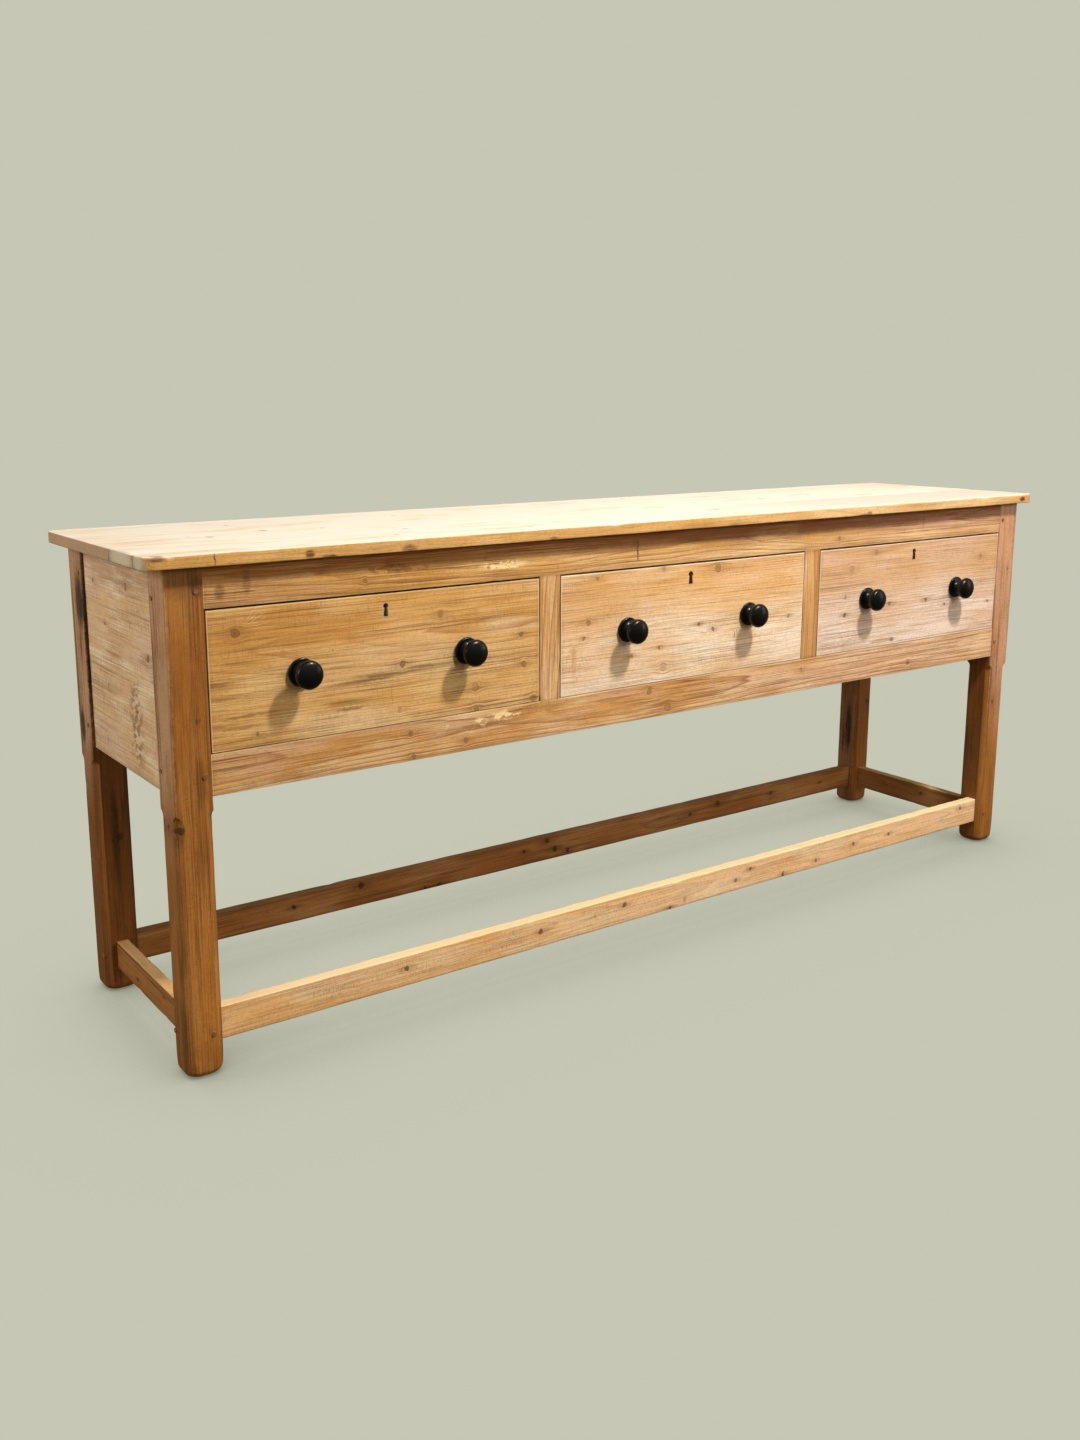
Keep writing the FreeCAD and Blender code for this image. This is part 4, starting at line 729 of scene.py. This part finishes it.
for number, node in enumerate(rail_knots):
    random = np.random.default_rng(RAIL_SEED + number)
    box = shoulder_box(node, X, front_posts)
    surface = timber(*box, X, random, RAIL_ARRIS, step=LONG_STEP, chips=10)
    if node == "top_rail":
        surface = cut_strikes(surface, box[0][Z])
    finish = waxed_top_rail if node == "top_rail" else waxed_bottom_rail
    # arris paints a highlight along the rails' edges.
    worn = Wear(rings=4, figure=1, deep=0.3, wash=0.5, pale=0.55, smoke=0.6, lines=0.9, weave=0.35,
                grime=0.25, arris=0.3)
    knots, marks = rail_knots[node], rail_marks[node]
    material = pine(node + "_pine", box, X, Z, finish, random, knots, marks, worn, heart=(12, 40))
    add_timber(node, surface, material)

for number, node in enumerate(("left_muntin", "right_muntin")):
    random = np.random.default_rng(MUNTIN_SEED + number)
    low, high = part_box(node)
    low[Z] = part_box("bottom_rail")[1][Z] - TENON_SHOW
    high[Z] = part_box("top_rail")[0][Z] + TENON_SHOW
    surface = timber(low, high, Z, random, RAIL_ARRIS, step=4 * MM, chips=4, dents=8)
    worn = Wear(figure=1, deep=0.6, smoke=0.9, lines=1, weave=0.3)
    material = pine(node + "_pine", (low, high), Z, X, waxed_bottom_rail, random, wear=worn, heart=(40, 60))
    add_timber(node, surface, material)

# Panels: a wide board closes each end of the case and a longer one its back, with the grain lying flat. Their
# tenons are pegged into the legs, and their lower edges are rounded by hand.
PANEL_SEED = 400
PANEL_ARRIS = 1.6 * MM
grey_panel = wood((212, 178, 136), (184, 146, 108), (198, 152, 106), (206, 174, 148),
                  (228, 206, 172), (126, 92, 64), (118, 80, 52), sheen=0.5)
PANEL_SHADE = colour(150, 112, 84)
PANEL_SPOTS = colour(112, 82, 54)
panels = [
    ("left_side_panel", Y, left_posts, 5,
     [spot((-60, -92), (36, 95), 0.7, PANEL_SPOTS, broken=True)]),
    ("right_side_panel", Y, right_posts, 5, []),
    ("back_panel", X, back_posts, 14, []),
]
for number, (node, grain, posts, count, spots) in enumerate(panels):
    random = np.random.default_rng(PANEL_SEED + number)
    box = shoulder_box(node, grain, posts)
    surface = timber(*box, grain, random, PANEL_ARRIS, step=5 * MM, chips=6, dents=40)
    knots = random_knots(random, count, box, grain, Z, sizes=(3, 6))
    worn = Wear(rings=6, figure=0.5, deep=0.3, wash=0.7, pale=0.75, smoke=0.55, lines=0.6, weave=0.9,
                specks=0.9)
    marks = spots + [spot((0, 175), (3000, 70), 0.5, PANEL_SHADE, under=True)]
    material = pine(node + "_pine", box, grain, Z, grey_panel, random, knots, marks, worn)
    add_timber(node, surface, material)

# Strips and blocks inside the case: sawn pine runners, kickers and guides for the drawers, the stops behind
# them and the glue blocks under the top. They were never waxed and have only gone brown with age.
raw_pine = wood((214, 178, 126), (176, 134, 84), (196, 150, 96), (206, 172, 134),
                (226, 198, 152), (136, 98, 60), (112, 72, 42), sheen=0.6)
STRIP_SEED = 500
BLOCK_SEED = 540


def dress(node, material):
    """Gives a CAD node its own material in place of the plain one that it was packed with."""
    mesh = nodes[node].data
    mesh.materials.clear()
    mesh.materials.append(material)


strips = [n for n in nodes if n.endswith(("_runner", "_kicker", "_guide"))]
for number, node in enumerate(sorted(strips)):
    random = np.random.default_rng(STRIP_SEED + number)
    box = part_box(node)
    knots = random_knots(random, 2, box, Y, X)
    dress(node, pine(node + "_pine", box, Y, X, raw_pine, random, knots))
for number, (node, grain) in enumerate((("drawer_stops", Z), ("glue_blocks", X))):
    random = np.random.default_rng(BLOCK_SEED + number)
    dress(node, pine(node + "_pine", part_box(node), grain, Y, raw_pine, random))

# Pegs: riven oak, driven through each tenon and cut off a little proud of the leg. Only their end grain
# shows, darker than most of the pine round it.
PEG_DARK = colour(92, 58, 30)
PEG_LIGHT = colour(150, 104, 60)


def oak_peg(name):
    """End grain of oak: dark pores as small round spots on a brown ground."""
    material, wire, shader = new_material(name)
    place = wire.node("TexCoord", output="Object")
    pores = wire.node("TexVoronoi", None, {"Vector": place, "Scale": 1 / (1.4 * MM)})
    patch = place.speckle(9 * MM, 4.0)
    tone = wire.blend(PEG_LIGHT, PEG_DARK, 0.65 * patch.ramp(0.3, 0.7) + 0.35 * pores.ramp(0.4, 0.1))
    bump = wire.node("Bump", None, {"Strength": 0.4, "Distance": 0.3 * MM, "Height": pores})
    wire.fill(shader, {"Base Color": tone, "Roughness": 0.55, "Normal": bump})
    return material


dress("joint_pegs", oak_peg("joint_pegs_oak"))

# Top: two wide boards, edge to edge, scrubbed until they went pale. The corners are rounded, the upper edge
# is worn, and the front edge has dark patches and a few chips.
TOP_SEED = 600
TOP_CORNER = 20 * MM
TOP_END = 2 * MM
TOP_UPPER = 3 * MM
TOP_LOWER = 1.6 * MM
SEAM = 0.5 * MM
scrubbed = wood((214, 164, 92), (182, 130, 64), (200, 144, 68), (208, 166, 116),
                (236, 194, 128), (122, 80, 40), (130, 84, 44), sheen=0.5)
BLEACHED = colour(231, 225, 214)
GREY_ENDS = colour(136, 118, 102)
GREY_GREEN = colour(190, 182, 152)
DRY_EDGE = colour(226, 190, 146)
DULLED = colour(216, 194, 184)
STAIN = colour(214, 168, 108)


def top_corners(side):
    """Draws in the front or the back edge at both ends, as quarter circles of the top's corner radius."""
    def trim(s, length):
        sides = np.zeros((len(s), 4))
        sides[:, side] = rounding(s, TOP_CORNER) + rounding(length - s, TOP_CORNER)
        return sides
    return trim


RIGHT_OF_GRAIN, LEFT_OF_GRAIN = 0, 2
top_marks = [
    Mark((-805, -90, -2), (10, 8, 8), 0.9, DRIP), Mark((-625, -90, -5), (18, 8, 7), 0.6, DRIP),
    Mark((-962, -90, 0), (1.6, 10, 12), 0.8, CHAR), Mark((-770, -90, -9), (16, 8, 4), 0.8, CHAR),
    Mark((-1050, -84, 6), (16, 20, 6), 0.7, DRIP), Mark((-330, -90, -8), (12, 8, 4), 0.6, CHAR),
    Mark((-1073, 6, 0), (12, 56, 20), 0.75, GREY_GREEN), Mark((-1073, 62, 0), (12, 2, 14), 0.8, CHAR),
    Mark((-1073, -46, 0), (12, 2, 14), 0.8, CHAR), Mark((-1073, -68, 0), (12, 20, 20), 0.6, GREY_GREEN),
    Mark((1032, -90, 0), (12, 10, 7), 0.9, OLD_WAX_AND_SHADE), Mark((500, -90, -6), (10, 8, 5), 0.6, DRIP),
    Mark((640, -90, 0), (560, 9, 16), 0.6, DRY_EDGE, under=True),
    Mark((700, 20, 12), (700, 300, 6), 0.8, DULLED),
    Mark((-930, 20, 10), (90, 9, 20), 0.3, STAIN), Mark((-700, -40, 10), (110, 7, 20), 0.3, STAIN),
    Mark((-420, 30, 10), (130, 8, 20), 0.3, STAIN), Mark((-1000, -60, 10), (60, 20, 20), 0.25, STAIN),
]
top_boards = [
    ("top_front_board", LEFT_OF_GRAIN, (SEAM, SEAM, TOP_UPPER, TOP_LOWER), 10),
    ("top_back_board", RIGHT_OF_GRAIN, (TOP_LOWER, TOP_UPPER, SEAM, SEAM), 14),
]
for number, (node, side, arris, count) in enumerate(top_boards):
    random = np.random.default_rng(TOP_SEED + number)
    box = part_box(node)
    surface = timber(*box, X, random, arris, ends=(TOP_END, TOP_END), fine=(TOP_CORNER, TOP_CORNER),
                     step=LONG_STEP, trim=top_corners(side), chips=22, chip_depth=3.5 * MM, dents=60)
    knots = random_knots(random, count, box, X, Y, sizes=(4, 8))
    marks = top_marks if node == "top_front_board" else ()
    worn = Wear(rings=6, weave=0.2, grime=0)
    material = pine(node + "_pine", box, X, Y, scrubbed, random, knots, marks, worn, upward_wear_and_shade=BLEACHED,
                    ends=GREY_ENDS)
    add_timber(node, surface, material)

# Drawers: half-blind dovetailed boxes. The fronts are single boards, each of its own tree, with the knots
# where they show, and the sides, backs and bottoms are thin raw pine.
gold_front = wood((218, 168, 94), (178, 122, 56), (198, 138, 60), (224, 180, 130),
                  (238, 204, 148), (118, 76, 34), (138, 88, 42), sheen=0.44)
pale_front = wood((228, 180, 116), (192, 142, 86), (212, 158, 88), (236, 198, 158),
                  (245, 228, 206), (140, 94, 54), (138, 88, 50), sheen=0.46)
pink_front = wood((214, 172, 126), (180, 134, 92), (202, 152, 102), (226, 190, 166),
                  (238, 218, 204), (132, 90, 58), (130, 84, 52), sheen=0.46)
DRAWER_SEED = 700
# Painted shade: the drawer fronts' upward faces, in the dark gap under the rail above, are dark brown.
PAINTED_SHADE_UPPER_EDGE = colour(92, 58, 30)
front_knots = {
    "left": [
        Knot(-266, 73, 7, 0.75), Knot(105, 67, 5.5, 0.5), Knot(273, 14, 4, 0.7), Knot(278, -39, 5, 0.7),
        Knot(30, -11, 5, 0.8), Knot(175, -69, 7, 0.35), Knot(177, -109, 5, 0.6), Knot(300, -105, 6, 0.5),
        Knot(-235, -92, 3, 0.6), Knot(22, -88, 4, 0.3),
    ],
    "middle": [
        Knot(71, 99, 8, 0.6), Knot(-69, 108, 5, 0.45), Knot(-230, 101, 4, 0.6), Knot(-251, 21, 4.5, 0.6),
        Knot(-261, -8, 3.5, 0.7), Knot(24, -9, 3.5, 0.9), Knot(62, -23, 3.5, 0.9), Knot(-78, -45, 3, 0.9),
        Knot(-146, -53, 4, 0.7), Knot(-66, -84, 8, 0.35), Knot(273, -16, 3, 0.7),
    ],
    "right": [
        Knot(-126, 97, 6, 0.4), Knot(-201, 64, 7, 0.3), Knot(238, 63, 6, 0.4), Knot(-217, 7, 4, 0.5),
        Knot(-217, -32, 4, 0.9), Knot(-75, -20, 4, 0.8), Knot(49, -22, 4, 0.9), Knot(116, -39, 3, 0.7),
        Knot(274, -45, 3, 0.8), Knot(-60, -100, 3, 0.6),
    ],
}
SMOKE = colour(112, 72, 34)
CHALK = colour(230, 200, 162)
HONEY = colour(198, 134, 56)
SCRATCH_TURNS = (4, 13, 22, 31, 40, 49)
scratches = [
    spot((-222 - turn / 3, 76 + turn / 2), (26, 0.8), 0.3, SCRAPE, turn)
    for turn in SCRATCH_TURNS
]
front_marks = {
    "left": scratches + [
        spot((-190, 62), (200, 52), 0.4, HONEY, under=True),
        spot((250, 34), (92, 22), 0.65, CHALK, under=True),
        spot((-60, -95), (120, 30), 0.65, CHALK, under=True),
        spot((20, -6), (250, 40), 0.45, CHALK, under=True), spot((-50, -30), (80, 4), 0.5, SMOKE, 1),
        spot((-250, -60), (60, 3), 0.5, SMOKE, 2), spot((-262, -78), (46, 2.5), 0.5, SMOKE),
        spot((-230, -112), (80, 6), 0.4, SMOKE, 2), spot((200, -44), (90, 3), 0.4, SMOKE, 1),
        spot((-68, -74), (36, 3), 0.5, SMOKE, 1), spot((68, -18), (32, 4), 0.45, SMOKE),
        spot((-20, -48), (1.2, 14), 0.3, SMOKE), spot((8, -62), (1.2, 26), 0.35, SMOKE),
    ],
    "middle": [
        spot((120, -40), (1.6, 12), 0.6, DRIP), spot((128, -36), (1.4, 9), 0.6, DRIP),
        spot((-284, -50), (7, 34), 0.4, HONEY), spot((-255, 60), (90, 60), 0.25, HONEY, under=True),
        spot((200, 100), (130, 24), 0.3, HONEY, under=True),
        spot((290, -60), (40, 44), 0.4, HONEY, under=True),
    ],
    "right": [spot((-60, -103), (6, 3), 0.6, CHAR)],
}
for number, (drawer, knots) in enumerate(front_knots.items()):
    random = np.random.default_rng(DRAWER_SEED + number)
    node = drawer + "_drawer_front"
    finish = {"left": gold_front, "middle": pale_front, "right": pink_front}[drawer]
    heart = (40 - 70 * number, 55 + 20 * number)
    # arris paints a highlight along the fronts' edges.
    worn = Wear(rings=4, figure=0.8, wash=0.5, pale=0.4, smoke=0.7, lines=0.6, weave=0.4, grime=0.2,
                fade=0.3, arris=0.6)
    if drawer != "left":
        worn = worn._replace(deep=0.3, pale=0.25, smoke=0.3, fade=0.8)
    # The front's upward faces take painted shade.
    material = pine(node + "_pine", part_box(node), X, Z, finish, random, knots, front_marks[drawer], worn,
                    heart=heart, upward_wear_and_shade=PAINTED_SHADE_UPPER_EDGE)
    dress(node, material)
    for part, grain, across in (("left_side", Y, Z), ("right_side", Y, Z), ("back", X, Z), ("bottom", X, Y)):
        node = f"{drawer}_drawer_{part}"
        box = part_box(node)
        strewn = random_knots(random, 3, box, grain, across)
        dress(node, pine(node + "_pine", box, grain, across, raw_pine, random, strewn))

# Knobs: turned beech, ebonised and polished by hands. The gloss is broken by fine scuffs, and a little brown
# wood shows where the black has rubbed thin.
BLACK = colour(5, 5, 6)
RUBBED_BLACK = colour(30, 20, 16)


def ebonised(name):
    """Black stain under polish: noise thins the black to brown and roughens the gloss."""
    material, wire, shader = new_material(name)
    place = wire.node("TexCoord", output="Object")
    thin = place.speckle(14 * MM, 6.0, 0.65)
    scuff = place.speckle(2.5 * MM, 4.0)
    tone = wire.blend(BLACK, RUBBED_BLACK, 0.6 * thin.ramp(0.58, 0.74))
    rough = 0.28 + 0.2 * thin.ramp(0.45, 0.75) + 0.1 * scuff
    bump = wire.node("Bump", None, {"Strength": 0.12, "Distance": 0.3 * MM, "Height": scuff})
    wire.fill(shader, {"Base Color": tone, "Roughness": rough, "Normal": bump, "Specular IOR Level": 0.25})
    wire.fill(shader, {"Coat Weight": 0.1, "Coat Roughness": 0.14})
    return material


black_knob = ebonised("black_knob")
for drawer in DRAWERS:
    for side in ("left", "right"):
        dress(f"{drawer}_drawer_{side}_knob", black_knob)

# Locks: a brass box let into the back of each front, with a bolt that rises into the top rail. The left
# keyhole keeps its brass lining, rubbed bright by the key.
BRASS = colour(206, 168, 92)
RUBBED_BRASS = colour(216, 200, 174)
TARNISH = colour(104, 80, 42)


def brass(name, ground, tarnish, metal):
    """Old brass: patches of brown tarnish, rougher and less like metal than the bright ground."""
    material, wire, shader = new_material(name)
    place = wire.node("TexCoord", output="Object")
    dull = tarnish * place.speckle(11 * MM, 6.0, 0.62).ramp(0.32, 0.66)
    tone = wire.blend(ground, TARNISH, dull)
    wire.fill(shader, {"Base Color": tone, "Metallic": metal - 0.35 * dull, "Roughness": 0.26 + 0.3 * dull})
    return material


old_brass = brass("old_brass", BRASS, tarnish=0.9, metal=1.0)
bright_brass = brass("bright_brass", RUBBED_BRASS, tarnish=0.15, metal=0.5)
for drawer in DRAWERS:
    dress(drawer + "_drawer_lock", old_brass)
    dress(drawer + "_drawer_bolt", old_brass)
dress("left_drawer_escutcheon", bright_brass)

# The floor and its rise behind the piece: one pale sweep with no corner, evenly lit, and darker only close to
# what stands on it. It throws no light on the piece, whose lower faces stay dark.
FLOOR_REACH = 7.0
SWEEP_RADIUS = 4.0
WALL_TOP = 9.0
SWEEP_TURNS = 96
CURVE_STEPS = 17
FLAT_STEPS = 9
SHADOW_REACH = 0.4
SWEEP_COLOUR = colour(198, 199, 181)
SWEEP_SHADE = colour(120, 118, 102)
turn = np.linspace(0, np.pi / 2, CURVE_STEPS)
flat = np.linspace(0, FLOOR_REACH, FLAT_STEPS)[1:-1]
reach = np.concatenate([flat, FLOOR_REACH + SWEEP_RADIUS * np.sin(turn), [FLOOR_REACH + SWEEP_RADIUS]])
rise = np.concatenate([0 * flat, SWEEP_RADIUS * (1 - np.cos(turn)), [WALL_TOP]])
angle = np.linspace(0, 2 * np.pi, SWEEP_TURNS, endpoint=False)
points = np.stack([np.outer(reach, np.cos(angle)), np.outer(reach, np.sin(angle)),
                   np.repeat(rise[:, None], SWEEP_TURNS, axis=1)], axis=-1).reshape(-1, 3)
index = np.arange(len(points)).reshape(len(reach), SWEEP_TURNS)
after = np.roll(index, -1, axis=1)
quads = np.stack([index[:-1], index[1:], after[1:], after[:-1]], axis=-1).reshape(-1, 4)
floor_mesh = bpy.data.meshes.new("floor_sweep")
floor_mesh.from_pydata(points.tolist(), [], quads.tolist() + [index[0].tolist()])
floor_mesh.shade_smooth()
material, wire, shader = new_material("floor_paint")
# Painted shadow: the floor's glow is darkened by ambient occlusion close to what stands on it.
open_sky = wire.node("AmbientOcclusion", {"samples": 8}, {"Distance": SHADOW_REACH}, 1)
lit = wire.blend(SWEEP_SHADE, SWEEP_COLOUR, open_sky.ramp(0.1, 1.0))
wire.fill(shader, {"Emission Color": lit, "Emission Strength": 1.0})
wire.fill(shader, {"Base Color": (0, 0, 0, 1), "Specular IOR Level": 0.0})
floor_mesh.materials.append(material)
floor = bpy.data.objects.new("floor_sweep", floor_mesh)
floor.visible_diffuse = False
floor.visible_glossy = False
bpy.context.scene.collection.objects.link(floor)

# Light: a warm lamp high above the front, placed by the knobs' shadows, soft boxes at both ends and in front,
# and a weak sky that is darker below.
SKY = (0.33, 0.29, 0.22, 1)
GROUND = (0.13, 0.10, 0.06, 1)
world = bpy.data.worlds.new("studio")
world.use_nodes = True
wire = Wire(world.node_tree)
way = wire.node("TexCoord", output="Generated").split()
sky = wire.blend(GROUND, SKY, way[Z].ramp(-0.4, 0.4))
wire.fill(world.node_tree.nodes["Background"], {"Color": sky})
bpy.context.scene.world = world


def lamp(name, place, aim, size, power, tint):
    """A soft box of a width and a height that faces a point, and can't be seen itself."""
    light = bpy.data.lights.new(name, "AREA")
    light.shape = "RECTANGLE"
    light.size, light.size_y = size
    light.energy = power
    light.color = tint
    made = bpy.data.objects.new(name, light)
    made.location = place
    made.rotation_euler = (Vector(aim) - Vector(place)).to_track_quat("-Z", "Y").to_euler()
    made.visible_camera = False
    bpy.context.scene.collection.objects.link(made)
    return made


lamp("key_lamp", (0.586, -1.54, 3.10), (0, -0.1, 0.6), (0.3, 0.3), power=112, tint=(1.0, 0.94, 0.85))
lamp("left_box", (-2.6, 0.15, 1.3), (-1.0, 0, 0.6), (0.9, 0.9), power=22, tint=(1.0, 0.97, 0.93))
lamp("right_box", (3.4, -2.6, 1.5), (0, 0, 0.6), (0.5, 1.6), power=14, tint=(1.0, 0.98, 0.95))
front_fill = lamp("front_fill", (0.7, -3.0, 1.9), (0, 0, 0.5), (2.6, 1.2), power=33, tint=(1.0, 0.93, 0.82))
front_fill.visible_glossy = False
bpy.context.scene.view_settings.view_transform = "Standard"

# Camera: where the photograph was taken from, at the front left and a little above the top. Its angles and
# shifts were fitted to the edges in the photograph.
camera_data = bpy.data.cameras.new("camera")
camera_data.lens = 33.35
camera_data.sensor_width = 36
camera_data.shift_x = 0.0129
camera_data.shift_y = -0.0387
camera = bpy.data.objects.new("camera", camera_data)
camera.location = (-1.7293, -2.1260, 1.0854)
camera.rotation_euler = np.radians((90 - 11.53, 0.06, -35.06))
bpy.context.scene.collection.objects.link(camera)
bpy.context.scene.camera = camera
